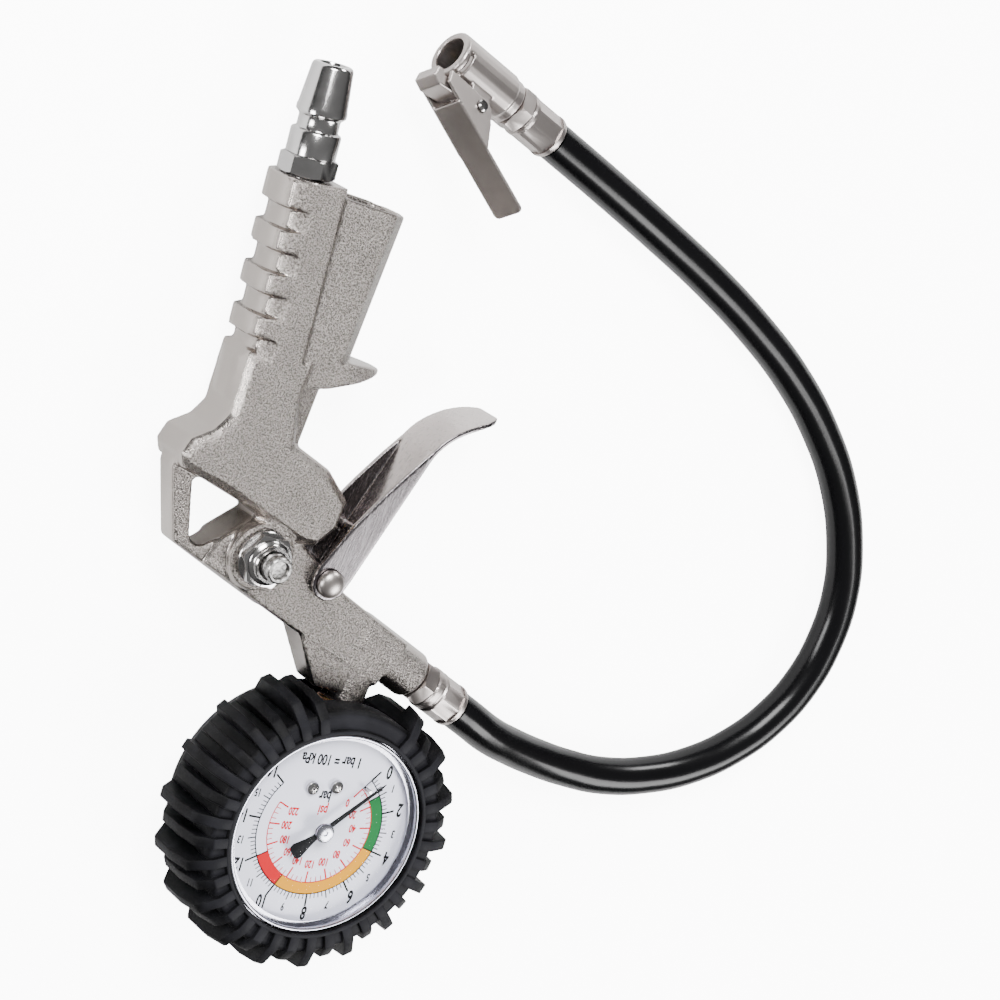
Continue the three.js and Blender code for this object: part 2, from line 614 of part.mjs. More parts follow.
function lensBezel() {
  const inner = LENS_RADIUS + GAP;
  const outer = inner + BEZEL_WIDTH;
  const low = CASE_FRONT_Z + GAP;
  const hoop = turned([[inner - 1.2, low], [CASE_RADIUS, low], [CASE_RADIUS, low + 0.5],
    [outer, low + 0.5], [outer, low + BEZEL_HEIGHT - 0.3], [outer - 0.3, low + BEZEL_HEIGHT],
    [inner + 0.2, low + BEZEL_HEIGHT], [inner, low + BEZEL_HEIGHT - 0.3], [inner, low + 0.35],
    [inner - 1.2, low + 0.35], [inner - 1.2, low]], GAUGE_SIDES);
  return piece('lens_bezel', solid(hoop), STEEL);
}

// The boot is a rubber cup with lugs like a tyre's, cut out around the gauge port. The lugs
// run on over its front as low ridges, and are left out above the port.
function gaugeBoot() {
  const inner = CASE_RADIUS + GAP;
  const outer = inner + BOOT_WALL;
  const lipLow = CASE_FRONT_Z + GAP + 0.5 + GAP;
  const cup = solid(turned([[0, FLOOR_Z], [outer - 3, FLOOR_Z], [outer, FLOOR_Z + 6],
    [outer, BOOT_VALLEY_Z - 2], [outer - 1.6, BOOT_VALLEY_Z], [RIDGE_START + 0.6, BOOT_VALLEY_Z],
    [RIDGE_START, BOOT_FRONT_Z], [BOOT_LIP_RADIUS, BOOT_FRONT_Z],
    [BOOT_LIP_RADIUS, lipLow], [inner, lipLow], [inner, CASE_BACK_Z - GAP],
    [0, CASE_BACK_Z - GAP]], LUG_COUNT));
  const lugs = [];
  for (let i = 0; i < LUG_COUNT; i++) {
    if (!LUGS_LEFT_OUT.includes(i)) {
      lugs.push(bootLug(i, outer));
    }
  }
  const opening = solid(block([-13, 20, -11], [13, outer + 12, 9.4]));
  const relief = solid(block([-17, outer + 0.4, -11], [21, outer + 12, 9.4]));
  return piece('gauge_boot', cut(join(cup, ...lugs), opening, relief), RUBBER);
}

function bootLug(number, outer) {
  const reach = number % 2 ? SHORT_LUG_REACH : LONG_LUG_REACH;
  const root = outer - 2;
  const side = outline([[root, FLOOR_Z + 3], [outer + reach, -2], [outer + reach, 8],
    [outer + reach - 1.4, BOOT_FRONT_Z - 3.4], [outer - 1.2, BOOT_FRONT_Z - 0.1],
    [RIDGE_START - 0.4, BOOT_FRONT_Z - 0.1], [RIDGE_START - 0.4, BOOT_VALLEY_Z - 0.6],
    [root, BOOT_VALLEY_Z - 1.4]]);
  const lug = plate(side, -LUG_WIDTH / 2, LUG_WIDTH / 2).rotateX(Math.PI / 2);
  return solid(lug.rotateZ(radians((number + 0.5) * 360 / LUG_COUNT)));
}

// ---------------------------------------------------------------- trigger and valve
const HALF_TRIGGER = TRIGGER_WIDTH / 2;

// The trigger's inner face: straight along the web, then curling away to the finger tip.
function webCurve(offset) {
  const point = (height) => ahead(ahead(TRIGGER_WEB, VALVE_DEG + 90, height), VALVE_DEG, offset);
  const [low, high] = [point(-12), point(28.2)];
  const tip = [12 + 0.34 * offset, 125.8 - offset];
  const bend = new THREE.QuadraticBezierCurve(new THREE.Vector2(...high),
    new THREE.Vector2(-5.05 + offset, 119.7 - 0.5 * offset), new THREE.Vector2(...tip));
  return [low, ...bend.getPoints(12).map(({ x, y }) => [x, y])];
}

function triggerLever() {
  const strip = plateSolid([...webCurve(0), ...webCurve(TRIGGER_SHEET).reverse()],
    -HALF_TRIGGER, HALF_TRIGGER);
  const plan = new THREE.Shape();
  plan.moveTo(-40, -HALF_TRIGGER);
  plan.lineTo(3, -HALF_TRIGGER);
  plan.quadraticCurveTo(13.2, -HALF_TRIGGER + 0.4, 13.2, 0);
  plan.quadraticCurveTo(13.2, HALF_TRIGGER - 0.4, 3, HALF_TRIGGER);
  plan.lineTo(-40, HALF_TRIGGER);
  const web = strip.intersect(solid(plate(plan, 60, 140).rotateX(Math.PI / 2).scale(1, -1, 1)));
  const flange = [[-28.8, 68.4], [-28.2, 72.2], [-22.7, 85.2], [-16.9, 95.9], [-11.6, 104.7],
    [-7.2, 111.4], [-6.2, 109.6], [-16.8, 70], [-18.3, 65.6], [-20.6, 63.5], [-23.4, 62.8],
    [-26.3, 63.6], [-28.2, 65.8]];
  const inner = HALF_TRIGGER - TRIGGER_SHEET;
  const hole = solid(turned(bar(PIVOT_RADIUS + GAP, -20, 20), 16).translate(...PIVOT, 0));
  return piece('trigger_lever', cut(join(web, plateSolid(flange, inner, HALF_TRIGGER),
    plateSolid(flange, -HALF_TRIGGER, -inner)), hole), STEEL);
}

function triggerRivet() {
  const head = HALF_TRIGGER + GAP;
  const rivet = turned([[0, -head - 1.5], [3, -head - 1.5], [3.6, -head - 0.8], [3.6, -head],
    [PIVOT_RADIUS, -head], [PIVOT_RADIUS, head], [4.1, head], [4, head + 0.9], [3.3, head + 1.9],
    [1.9, head + 2.6], [0, head + 2.9]], 18);
  const mesh = piece('trigger_rivet', solid(rivet), CHROME);
  mesh.position.set(...PIVOT, 0);
  return mesh;
}

// Stations along the valve's axis, measured back from the trigger's inner face.
const SEAT_FRONT = -31.5;
const SEAT_BACK = -33.7;
const SEAL_BACK = -35.1;
const HEAD_BACK = -37.6;
const STEM_BORE = STEM_RADIUS + GAP;

function valveStem() {
  const profile = [[0, HEAD_BACK], [3.6, HEAD_BACK], [3.6, SEAL_BACK - GAP],
    [STEM_ROD_RADIUS, SEAL_BACK - GAP], [STEM_ROD_RADIUS, -21], [STEM_RADIUS, -20],
    [STEM_RADIUS, -1], [STEM_RADIUS - 0.6, -GAP], [0, -GAP]];
  return piece('valve_stem', solid(turnedX(profile, 16)), STEEL);
}

const valveSeal = () => piece('valve_seal',
  solid(turnedX(ring(STEM_ROD_RADIUS + GAP, 3.5, SEAL_BACK, SEAT_BACK - GAP))), RUBBER);
const valveSeat = () => piece('valve_seat',
  solid(turnedX(ring(STEM_ROD_RADIUS + 1, CHAMBER_RADIUS - GAP, SEAT_BACK, SEAT_FRONT))), BRASS);
const valveSpring = () => piece('valve_spring',
  solid(coil(2.6, 0.35, -CHAMBER_DEPTH + 0.2, HEAD_BACK - 0.2, 4).rotateY(Math.PI / 2)), STEEL);
const stemRing = () => piece('stem_o_ring',
  solid(turnedX([[STEM_BORE, -16.8], [STEM_BORE + 0.7, -16.8], [STEM_BORE + 1, -16.3],
    [STEM_BORE + 1, -15.9], [STEM_BORE + 0.7, -15.4], [STEM_BORE, -15.4],
    [STEM_BORE, -16.8]])), RUBBER);

function valveGuideNut() {
  const front = -NOSE_DEPTH + 0.2;
  const groove = STEM_BORE + 1 + GAP;
  const nut = turnedX([[STEM_BORE, -19], [CHAMBER_RADIUS - GAP, -19],
    [CHAMBER_RADIUS - GAP, front], [STEM_BORE, front], [STEM_BORE, -15.1], [groove, -15.1],
    [groove, -17.1], [STEM_BORE, -17.1], [STEM_BORE, -19]]);
  return piece('valve_guide_nut', solid(nut), BRASS);
}

// ---------------------------------------------------------------- bleed valve
function bleedNut() {
  const seatZ = 1;
  const low = BLEED_BOSS_Z + GAP;
  const hex = hexX(BLEED_FLATS, low, low + 3.7).rotate([0, -90, 0]);
  const thread = solid(turned(bar(BLEED_BORE_RADIUS - GAP, seatZ, low + 1)));
  const collars = solid(turned([[0, low + 3], [6.4, low + 3], [6.4, low + 4.4], [5.4, low + 5],
    [5.4, low + 6.4], [0, low + 6.4]], 24));
  const bore = solid(turned([[0, 0], [1.5 + GAP, 0], [1.5 + GAP, 4], [3.2, 4], [3.2, 12],
    [BUTTON_RADIUS + GAP, 12], [BUTTON_RADIUS + GAP, 30], [0, 30]]));
  return piece('bleed_nut', cut(join(hex, thread, collars), bore), CHROME);
}

function bleedButton() {
  const low = 12 + BUTTON_TRAVEL + 0.2;
  const stem = turned([[0, -1.6], [2.4, -1.6], [2.4, -0.8], [1.2, -0.8], [1.2, low],
    [BUTTON_RADIUS, low], [BUTTON_RADIUS, BUTTON_TOP_Z - 0.6], [BUTTON_RADIUS - 0.6, BUTTON_TOP_Z],
    [2.6, BUTTON_TOP_Z], [2.4, BUTTON_TOP_Z - 1], [0, BUTTON_TOP_Z - 1]]);
  return piece('bleed_button', solid(stem), CHROME);
}

const bleedSpring = () => piece('bleed_spring', solid(coil(2.4, 0.3, 4.2, 14, 5)), STEEL);
const bleedSeal = () => piece('bleed_seal', solid(turned(ring(1.5, 3.2, -0.5, 0.7))), RUBBER);

function at([x, y], ...meshes) {
  return along([x, y], 0, ...meshes);
}

// ---------------------------------------------------------------- hose and its fittings
// A fitting along +X: a threaded end before 0, a hexagon, and a barb inside the ferrule.
function hoseBarb(name, threadRadius, threadLength) {
  const hexEnd = GAP + FITTING_HEX_LENGTH;
  const tail = hexEnd + FERRULE_LENGTH;
  const core = solid(turnedX([[0, -threadLength], [threadRadius - 0.4, -threadLength],
    [threadRadius, -threadLength + 0.6], [threadRadius, GAP + 1], [BARB_RADIUS, GAP + 1],
    [BARB_RADIUS, tail - 2], [BARB_RADIUS - 0.8, tail - 0.5], [0, tail - 0.5]]));
  const bore = solid(turnedX(bar(BARB_BORE_RADIUS, -threadLength - 1, tail + 1), 12));
  return piece(name, cut(join(core, hexX(FITTING_FLATS, GAP, hexEnd)), bore), CHROME);
}

function ferrule(name) {
  const low = GAP + FITTING_HEX_LENGTH + GAP;
  const high = low + FERRULE_LENGTH - GAP;
  const sleeve = turnedX([[BARB_RADIUS + GAP, low], [FERRULE_RADIUS - 0.6, low],
    [FERRULE_RADIUS, low + 0.6], [FERRULE_RADIUS, high - 0.8], [FERRULE_RADIUS - 0.5, high],
    [BARB_RADIUS + GAP, high], [BARB_RADIUS + GAP, low]], 12);
  return piece(name, solid(sleeve), CHROME);
}

const FITTING_REACH = 2 * GAP + FITTING_HEX_LENGTH + FERRULE_LENGTH - GAP;

function hose() {
  const start = ahead(OUTLET, OUTLET_DEG, FITTING_REACH + 1.5 * GAP);
  const end = ahead(CHUCK_MOUTH, CHUCK_DEG, CHUCK_LENGTH + FITTING_REACH + 1.5 * GAP);
  const points = [[...start, 0], ...HOSE_ROUTE, [...end, CHUCK_MOUTH[2]]];
  return piece('hose', solid(sweep(points.map((point) => new THREE.Vector3(...point)),
    HOSE_RADIUS, 8, HOSE_STEPS)), HOSE_RUBBER);
}

// ---------------------------------------------------------------- chuck
// Its own frame: x from the mouth to the hose, z to the lever's side.
const [PIVOT_X, PIVOT_OUT] = CHUCK_PIVOT;

function chuckBody() {
  const shell = solid(turnedX([[0, 0], [CHUCK_RADIUS - 0.7, 0], [CHUCK_RADIUS, 0.7],
    [CHUCK_RADIUS, CHUCK_LENGTH - 3.5], [CHUCK_RADIUS - 0.5, CHUCK_LENGTH - 3],
    [CHUCK_RADIUS - 0.5, CHUCK_LENGTH - 0.6], [CHUCK_RADIUS - 1.1, CHUCK_LENGTH],
    [0, CHUCK_LENGTH]], 24));
  const ear = (low) => solid(plate(outline([[PIVOT_X - 4.4, 3], [PIVOT_X + 4.6, 3],
    [PIVOT_X + 3, PIVOT_OUT + 1], [PIVOT_X + 1, PIVOT_OUT + 2.6],
    [PIVOT_X - 1, PIVOT_OUT + 2.6], [PIVOT_X - 3, PIVOT_OUT + 1]]), low, low + 1.4)
    .rotateX(Math.PI / 2));
  const mouth = turnedX([[0, -1], [CHUCK_MOUTH_RADIUS + 0.6, -1], [CHUCK_MOUTH_RADIUS, 0.6],
    [CHUCK_MOUTH_RADIUS, 13], [0, 13]], 24);
  const slot = block([2.1, 2.6, 0.6], [3.3, 10, 6.6]);
  return piece('chuck_body', cut(join(shell, ear(2.6), ear(-4)), solid(mouth), solid(slot),
    solid(turnedX(bar(1.6, 5, 20), 12)),
    solid(turnedX(bar(CHUCK_THREAD_RADIUS, CHUCK_LENGTH - 7.6, CHUCK_LENGTH + 1))),
    pivotHole()), NICKEL);
}

const pivotHole = () => solid(turnedY(bar(1.1 + GAP, -12, 12), 14)
  .translate(PIVOT_X, 0, PIVOT_OUT));

const chuckSeal = () => piece('chuck_seal',
  solid(turnedX(ring(2, CHUCK_MOUTH_RADIUS - GAP, 9, 12.7), 20)), RUBBER);

function chuckProbe() {
  const probe = turnedX([[0, 7], [0.5, 7], [0.7, 7.4], [0.7, 16], [1.3, 16], [1.3, 17], [0, 17]],
    10);
  return piece('chuck_probe', solid(probe), BRASS);
}

// The lever's blade leaves the pivot at an angle; two flanges carry it on the pin.
function chuckLever() {
  const blade = plateSolid([[-10, -4.9], [24.2, -4.9], [25.2, -4.5], [25.6, -3.6], [25.6, 3.6],
    [25.2, 4.5], [24.2, 4.9], [-10, 4.9]], 0, 1)
    .rotate([0, -CHUCK_BLADE_DEG, 0]).translate([PIVOT_X + 1.4, 0, PIVOT_OUT + 7.2]);
  const side = [[-1.8, 8.6], [13.8, 9.2], [15.2, 11], [16.4, 15], [17.4, 22.4], [16.4, 22],
    [3.6, 15.2], [-1.8, 12.4]];
  const flange = (low) => solid(plate(outline(side), low, low + 1).rotateX(Math.PI / 2));
  return piece('chuck_lever', cut(join(blade, flange(4.3), flange(-5.3)), pivotHole()), STEEL);
}

function chuckClaw() {
  const side = outline([[-5.6, 9.2], [-3.8, 8.8], [-2.6, 10.4], [1.4, 10.2], [5.6, 9.6],
    [5.6, 12.2], [3, 13.4], [-3.6, 14.2], [-6.4, 12.4]]);
  return piece('chuck_claw', solid(plate(side, -3.9, 3.9, 0.3).rotateX(Math.PI / 2)), STEEL);
}

function chuckPivotPin() {
  const head = 5.3 + GAP;
  const pin = turnedY([[0, -head - 0.8], [1.5, -head - 0.8], [1.8, -head], [1.1, -head],
    [1.1, head], [1.8, head], [1.5, head + 0.8], [0, head + 0.8]], 16);
  const mesh = piece('chuck_pivot_pin', solid(pin), CHROME);
  mesh.position.set(PIVOT_X, 0, PIVOT_OUT);
  return mesh;
}

function chuckSpring() {
  const wire = coil(1.9, 0.3, -2.3, 2.3, 5).rotateX(Math.PI / 2);
  const mesh = piece('chuck_spring', solid(wire), STEEL);
  mesh.position.set(PIVOT_X, 0, PIVOT_OUT);
  return mesh;
}

function chuckGroup() {
  const group = new THREE.Group();
  const axis = new THREE.Vector3(...ahead([0, 0], CHUCK_DEG, 1), 0);
  const side = new THREE.Vector3(...CHUCK_LEVER_SIDE);
  side.addScaledVector(axis, -side.dot(axis)).normalize();
  const across = new THREE.Vector3().crossVectors(side, axis);
  group.quaternion.setFromRotationMatrix(new THREE.Matrix4().makeBasis(axis, across, side));
  group.position.set(...CHUCK_MOUTH);
  const fittings = new THREE.Group();
  fittings.position.x = CHUCK_LENGTH;
  fittings.add(hoseBarb('hose_barb_chuck', CHUCK_THREAD_RADIUS - GAP, 6.6),
    ferrule('hose_ferrule_chuck'));
  group.add(chuckBody(), chuckSeal(), chuckProbe(), chuckLever(), chuckClaw(), chuckPivotPin(),
    chuckSpring(), fittings);
  return group;
}

// ---------------------------------------------------------------- assembly
const tool = new THREE.Group();
tool.add(
  bodyCasting(),
  along(HANDLE_END, HANDLE_DEG, inletNipple()),
  at([0, GAUGE_Y], gaugeCase(), gaugeStem(), portWasher(), bourdonTube(), movementFrame(),
    pinionShaft(), sectorGear(), sectorLink(), hairspring(), dialPlate(),
    ...DIAL_SCREWS.map((place, i) => dialScrew(place, i + 1)),
    zeroStop(), pointer(), pointerCap(), lens(), lensBezel(), gaugeBoot()),
  triggerLever(), triggerRivet(),
  along(TRIGGER_WEB, VALVE_DEG, valveStem(), valveSeal(), valveSeat(), valveSpring(),
    stemRing(), valveGuideNut()),
  at(BLEED, bleedNut(), bleedButton(), bleedSpring(), bleedSeal()),
  along(OUTLET, OUTLET_DEG, hoseBarb('hose_barb_body', OUTLET_BORE_RADIUS - GAP, 8),
    ferrule('hose_ferrule_body')),
);

const box = new THREE.Box3().setFromObject(tool);
const middle = box.getCenter(new THREE.Vector3());
const inflator = new THREE.Group();
inflator.position.set(-middle.x, -middle.y, -box.min.z);
inflator.add(tool, hose(), chuckGroup());

export default inflator;
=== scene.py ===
"""Pistol-type tyre inflator: the looks of each piece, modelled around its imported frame."""

from math import cos, pi, radians, sin, tau

import bpy
from mathutils import Matrix, Vector


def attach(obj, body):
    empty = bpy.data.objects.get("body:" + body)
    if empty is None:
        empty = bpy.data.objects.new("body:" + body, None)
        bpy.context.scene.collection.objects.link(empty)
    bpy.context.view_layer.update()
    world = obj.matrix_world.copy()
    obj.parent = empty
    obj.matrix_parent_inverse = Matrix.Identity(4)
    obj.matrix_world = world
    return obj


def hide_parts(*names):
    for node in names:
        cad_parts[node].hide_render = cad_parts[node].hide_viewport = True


bl_info = {
    "name": "Tyre inflator with gauge",
    "version": (1, 0, 0),
    "blender": (4, 5, 0),
    "location": "3D View > Sidebar > Inflator",
    "description": "Models a pistol-type tyre inflator, its gauge, hose and chuck",
    "category": "Object",
}

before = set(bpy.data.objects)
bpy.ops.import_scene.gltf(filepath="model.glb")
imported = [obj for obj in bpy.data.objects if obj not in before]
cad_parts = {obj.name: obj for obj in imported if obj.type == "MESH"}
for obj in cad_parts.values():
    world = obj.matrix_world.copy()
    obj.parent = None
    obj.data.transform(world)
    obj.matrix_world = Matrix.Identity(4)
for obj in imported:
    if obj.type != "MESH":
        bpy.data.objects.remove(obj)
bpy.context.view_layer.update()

# ------------------------------------------------------------------ places, in millimetres
MM = 0.001
ORIGIN = (20.04992, -80.2379, 14.0)        # the gauge's axis and the casting's mid-plane
TOOL = Matrix.Scale(MM, 4) @ Matrix.Translation(ORIGIN)
INLET = ((-72.7, 172.5), 97.5)             # a point in the plane, and the way it faces
OUTLET = ((20.9, 45.9), -19.0)
PUSH_PIN = ((-15.2, 81.8), -15.0)
TRIGGER_PIVOT = (-23.4, 68.2)
BLEED = (-47.0, 70.3)
CHUCK_MOUTH = (-40.0, 216.4, -6.7)
CHUCK_DEG = -16.5
LEVER_SIDE = (-0.236, -0.796, 0.557)
CHUCK_LENGTH = 25.0
FITTING_REACH = 18.75                      # from a fitting's seat to the hose in its ferrule
HOSE_ROUTE = [
    (45.2, 37.5, -0.2), (55.4, 33.9, -1.9), (66.4, 31.3, -4.4), (78.5, 29.2, -6.7),
    (91, 27.9, -8), (105.6, 28, -8.25), (122, 31.4, -8.25), (137.2, 37.8, -8.25),
    (150, 47, -8.25), (160, 58.6, -8.25), (166.4, 72, -8.25), (168.8, 87, -8.25),
    (167.2, 102.5, -8.25), (161.2, 117.6, -8.25), (149.8, 134.4, -8.25),
    (134.3, 149.2, -8.25), (116.4, 161.6, -8.25), (96.3, 171.9, -8.25),
    (74.2, 181, -8.25), (50.6, 189.1, -8.1), (26, 196.8, -7.2),
]
CAMERA_PLACE = (-0.53863, 0.16121, 0.82852)
CAMERA_AXES = ((0.7839, 0.3665, 0.5008), (-0.226, 0.9203, -0.3194), (-0.578, 0.1372, 0.8042))


def ahead(point, degrees, distance):
    turn = radians(degrees)
    return (point[0] + distance * cos(turn), point[1] + distance * sin(turn))


def along(point, degrees, height=0.0):
    """The place whose +X axis lies in the plane at the angle, from the point."""
    return TOOL @ Matrix.Translation((*point, height)) @ Matrix.Rotation(radians(degrees), 4, "Z")


def chuck_place():
    forward = Vector((cos(radians(CHUCK_DEG)), sin(radians(CHUCK_DEG)), 0))
    side = Vector(LEVER_SIDE)
    side = (side - forward * side.dot(forward)).normalized()
    turn = Matrix((forward, side.cross(forward), side)).transposed().to_4x4()
    return TOOL @ Matrix.Translation(CHUCK_MOUTH) @ turn


LYING = Matrix.Rotation(radians(90), 4, "Y")       # turns a piece's +Z axis to +X
FACING_Y = Matrix.Rotation(radians(-90), 4, "X")   # turns a piece's +Z axis to +Y


# ------------------------------------------------------------------ modelling by hand
def alone(piece):
    bpy.ops.object.select_all(action="DESELECT")
    piece.select_set(True)
    bpy.context.view_layer.objects.active = piece


def draw(points):
    """A line of edges through the points. It stays selected, in edit mode."""
    bpy.ops.object.select_all(action="DESELECT")
    bpy.ops.mesh.primitive_plane_add(size=1)
    bpy.ops.object.mode_set(mode="EDIT")
    bpy.ops.mesh.merge(type="CENTER")
    bpy.ops.transform.translate(value=points[0])
    for here, there in zip(points, points[1:]):
        step = [b - a for a, b in zip(here, there)]
        bpy.ops.mesh.extrude_vertices_move(TRANSFORM_OT_translate={"value": step})
    bpy.ops.mesh.select_all(action="SELECT")
    return bpy.context.object


def close():
    """Merges what meets and turns the faces outwards."""
    bpy.ops.mesh.select_all(action="SELECT")
    bpy.ops.mesh.remove_doubles(threshold=0.001)
    bpy.ops.mesh.normals_make_consistent(inside=False)
    bpy.ops.object.mode_set(mode="OBJECT")


def turned(profile, sides=96):
    """A solid of revolution about +Z, through points of (radius, height)."""
    made = draw([(radius, 0, height) for radius, height in profile])
    bpy.ops.mesh.spin(steps=sides, angle=tau, center=(0, 0, 0), axis=(0, 0, 1))
    close()
    return made


def plate(points, low, high):
    """An outline in the plane, extruded from low to high."""
    made = draw([(x, y, low) for x, y in points])
    bpy.ops.mesh.edge_face_add()
    bpy.ops.mesh.extrude_region_move(TRANSFORM_OT_translate={"value": (0, 0, high - low)})
    close()
    return made


def box(low, high):
    middle = [(a + b) / 2 for a, b in zip(low, high)]
    bpy.ops.object.select_all(action="DESELECT")
    bpy.ops.mesh.primitive_cube_add(size=1, location=middle,
                                    scale=[b - a for a, b in zip(low, high)])
    made = bpy.context.object
    bpy.ops.object.transform_apply(location=True, rotation=True, scale=True)
    return made


def move(piece, matrix):
    alone(piece)
    piece.matrix_world = matrix
    bpy.ops.object.transform_apply(location=True, rotation=True, scale=True)
    return piece


def modify(piece, kind, **settings):
    change = piece.modifiers.new(kind.title(), kind)
    for name, value in settings.items():
        setattr(change, name, value)
    alone(piece)
    bpy.ops.object.modifier_apply(modifier=change.name)
    return piece


def bevel(piece, width, segments=2, degrees=30):
    return modify(piece, "BEVEL", width=width, segments=segments, limit_method="ANGLE",
                  angle_limit=radians(degrees), use_clamp_overlap=True)


def combine(piece, tool, operation):
    modify(piece, "BOOLEAN", operation=operation, solver="EXACT", object=tool)
    bpy.data.objects.remove(tool)
    return piece


def cut(piece, *tools):
    for tool in tools:
        combine(piece, tool, "DIFFERENCE")
    return piece


def fuse(piece, *others):
    for other in others:
        combine(piece, other, "UNION")
    return piece


def joined(pieces):
    alone(pieces[0])
    for piece in pieces:
        piece.select_set(True)
    bpy.ops.object.join()
    return pieces[0]


def hexagon(flats, low, high):
    """A hexagonal nut about +Z with its corners turned off."""
    corner = flats / 3 ** 0.5
    body = plate([(corner * cos(k * pi / 3), corner * sin(k * pi / 3)) for k in range(6)],
                 low, high)
    drop = 0.32 * (corner - flats / 2) + 0.25
    limit = turned([(0, low), (flats / 2, low), (corner + 0.1, low + drop),
                    (corner + 0.1, high - drop), (flats / 2, high), (0, high)], 72)
    return combine(body, limit, "INTERSECT")


def node_copy(node, cell, rounds):
    """A node's shape in one skin of small cells, with its corners rounded over."""
    made = bpy.data.objects.new(node + "_skin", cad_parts[node].data.copy())
    bpy.context.scene.collection.objects.link(made)
    alone(made)
    bpy.ops.object.mode_set(mode="EDIT")
    bpy.ops.mesh.select_all(action="SELECT")
    bpy.ops.mesh.remove_doubles(threshold=1e-6)
    bpy.ops.object.mode_set(mode="OBJECT")
    modify(made, "REMESH", mode="VOXEL", voxel_size=cell, adaptivity=0)
    return modify(made, "SMOOTH", factor=0.5, iterations=rounds)


def finished(piece, name, body, finish, place=None, stands_for=(), degrees=32):
    """Puts a piece in its place and gives it its name, finish and body."""
    if place is not None:
        move(piece, place)
    alone(piece)
    bpy.ops.object.shade_smooth_by_angle(angle=radians(degrees))
    piece.name = name
    piece.data.name = name
    piece.data.materials.clear()
    piece.data.materials.append(finish)
    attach(piece, body)
    if stands_for:
        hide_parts(*stands_for)
    return piece


# ------------------------------------------------------------------ shader expressions
class Shade:
    """A shader socket that takes part in Python expressions."""

    def __init__(self, look, socket):
        self.look, self.socket = look, socket

    def math(self, operation, *others):
        return self.look.node("ShaderNodeMath", {"operation": operation},
                              dict(enumerate((self, *others))))

    def __add__(self, other):
        return self.math("ADD", other)

    def __sub__(self, other):
        return self.math("SUBTRACT", other)

    def __mul__(self, other):
        return self.math("MULTIPLY", other)

    def __truediv__(self, other):
        return self.math("DIVIDE", other)

    def __rsub__(self, other):
        return self.look.node("ShaderNodeMath", {"operation": "SUBTRACT"}, {0: other, 1: self})

    __radd__, __rmul__ = __add__, __mul__

    def ramp(self, low, high, first=0.0, last=1.0):
        """Runs smoothly from first to last while the value runs from low to high."""
        return self.look.node("ShaderNodeMapRange", {"interpolation_type": "SMOOTHSTEP"},
                              {0: self, 1: low, 2: high, 3: first, 4: last})


class Look:
    """One material, built node by node."""

    def __init__(self, name):
        self.material = bpy.data.materials.new(name)
        self.material.use_nodes = True
        self.tree = self.material.node_tree
        self.tree.nodes.clear()
        self.output = self.tree.nodes.new("ShaderNodeOutputMaterial")

    def node(self, kind, settings=None, values=None, out=0):
        made = self.tree.nodes.new(kind)
        for name, value in (settings or {}).items():
            if name == "stops":
                for k, (place, colour) in enumerate(value):
                    stop = (made.color_ramp.elements[k] if k < 2
                            else made.color_ramp.elements.new(place))
                    stop.position, stop.color = place, (*colour, 1)
            else:
                setattr(made, name, value)
        for name, value in (values or {}).items():
            if isinstance(value, Shade):
                self.tree.links.new(value.socket, made.inputs[name])
            else:
                made.inputs[name].default_value = value
        return Shade(self, made.outputs[out])

    def place(self):
        return self.node("ShaderNodeTexCoord", out="Object")

    def parts(self, vector):
        """The three numbers of a vector."""
        split = self.node("ShaderNodeSeparateXYZ", {}, {0: vector})
        return [Shade(self, socket) for socket in split.socket.node.outputs]

    def facing(self):
        """The way the surface faces, as three numbers of the object."""
        return self.parts(self.node("ShaderNodeTexCoord", out="Normal"))

    def noise(self, size, detail=2.0, stretch=(1, 1, 1), rough=0.5):
        """Noise whose grains are about size metres across."""
        where = self.node("ShaderNodeMapping", {}, {"Vector": self.place(), "Scale": stretch})
        return self.node("ShaderNodeTexNoise", {}, {
            "Vector": where, "Scale": 1 / size, "Detail": detail, "Roughness": rough})

    def mix(self, share, first, second):
        """One colour or another, by share."""
        made = self.tree.nodes.new("ShaderNodeMix")
        made.data_type = "RGBA"
        for socket, value in ((0, share), (6, first), (7, second)):
            if isinstance(value, Shade):
                self.tree.links.new(value.socket, made.inputs[socket])
            else:
                made.inputs[socket].default_value = value if socket == 0 else (*value[:3], 1)
        return Shade(self, made.outputs[2])

    def bump(self, height, distance, strength=1.0):
        return self.node("ShaderNodeBump", {}, {
            "Height": height, "Distance": distance, "Strength": strength})

    def surface(self, colour, rough, metal=0.0, **more):
        """The shader itself. Its constant values are set on its own sockets."""
        values = {"Base Color": colour, "Roughness": rough, "Metallic": metal}
        for name, value in more.items():
            values[name.replace("_", " ")] = value
        for name, value in values.items():
            if not isinstance(value, (Shade, int, float)):
                values[name] = (*value[:3], 1)
        shader = self.node("ShaderNodeBsdfPrincipled", {}, values)
        self.tree.links.new(shader.socket, self.output.inputs[0])
        return self.material


# ------------------------------------------------------------------ finishes
FINISHES = {}


def finish(maker):
    """The finish that a function makes, made once."""
    if maker.__name__ not in FINISHES:
        look = Look(maker.__name__)
        FINISHES[maker.__name__] = maker(look)
    return FINISHES[maker.__name__]


def colours():
    return bpy.context.scene.inflator_colours


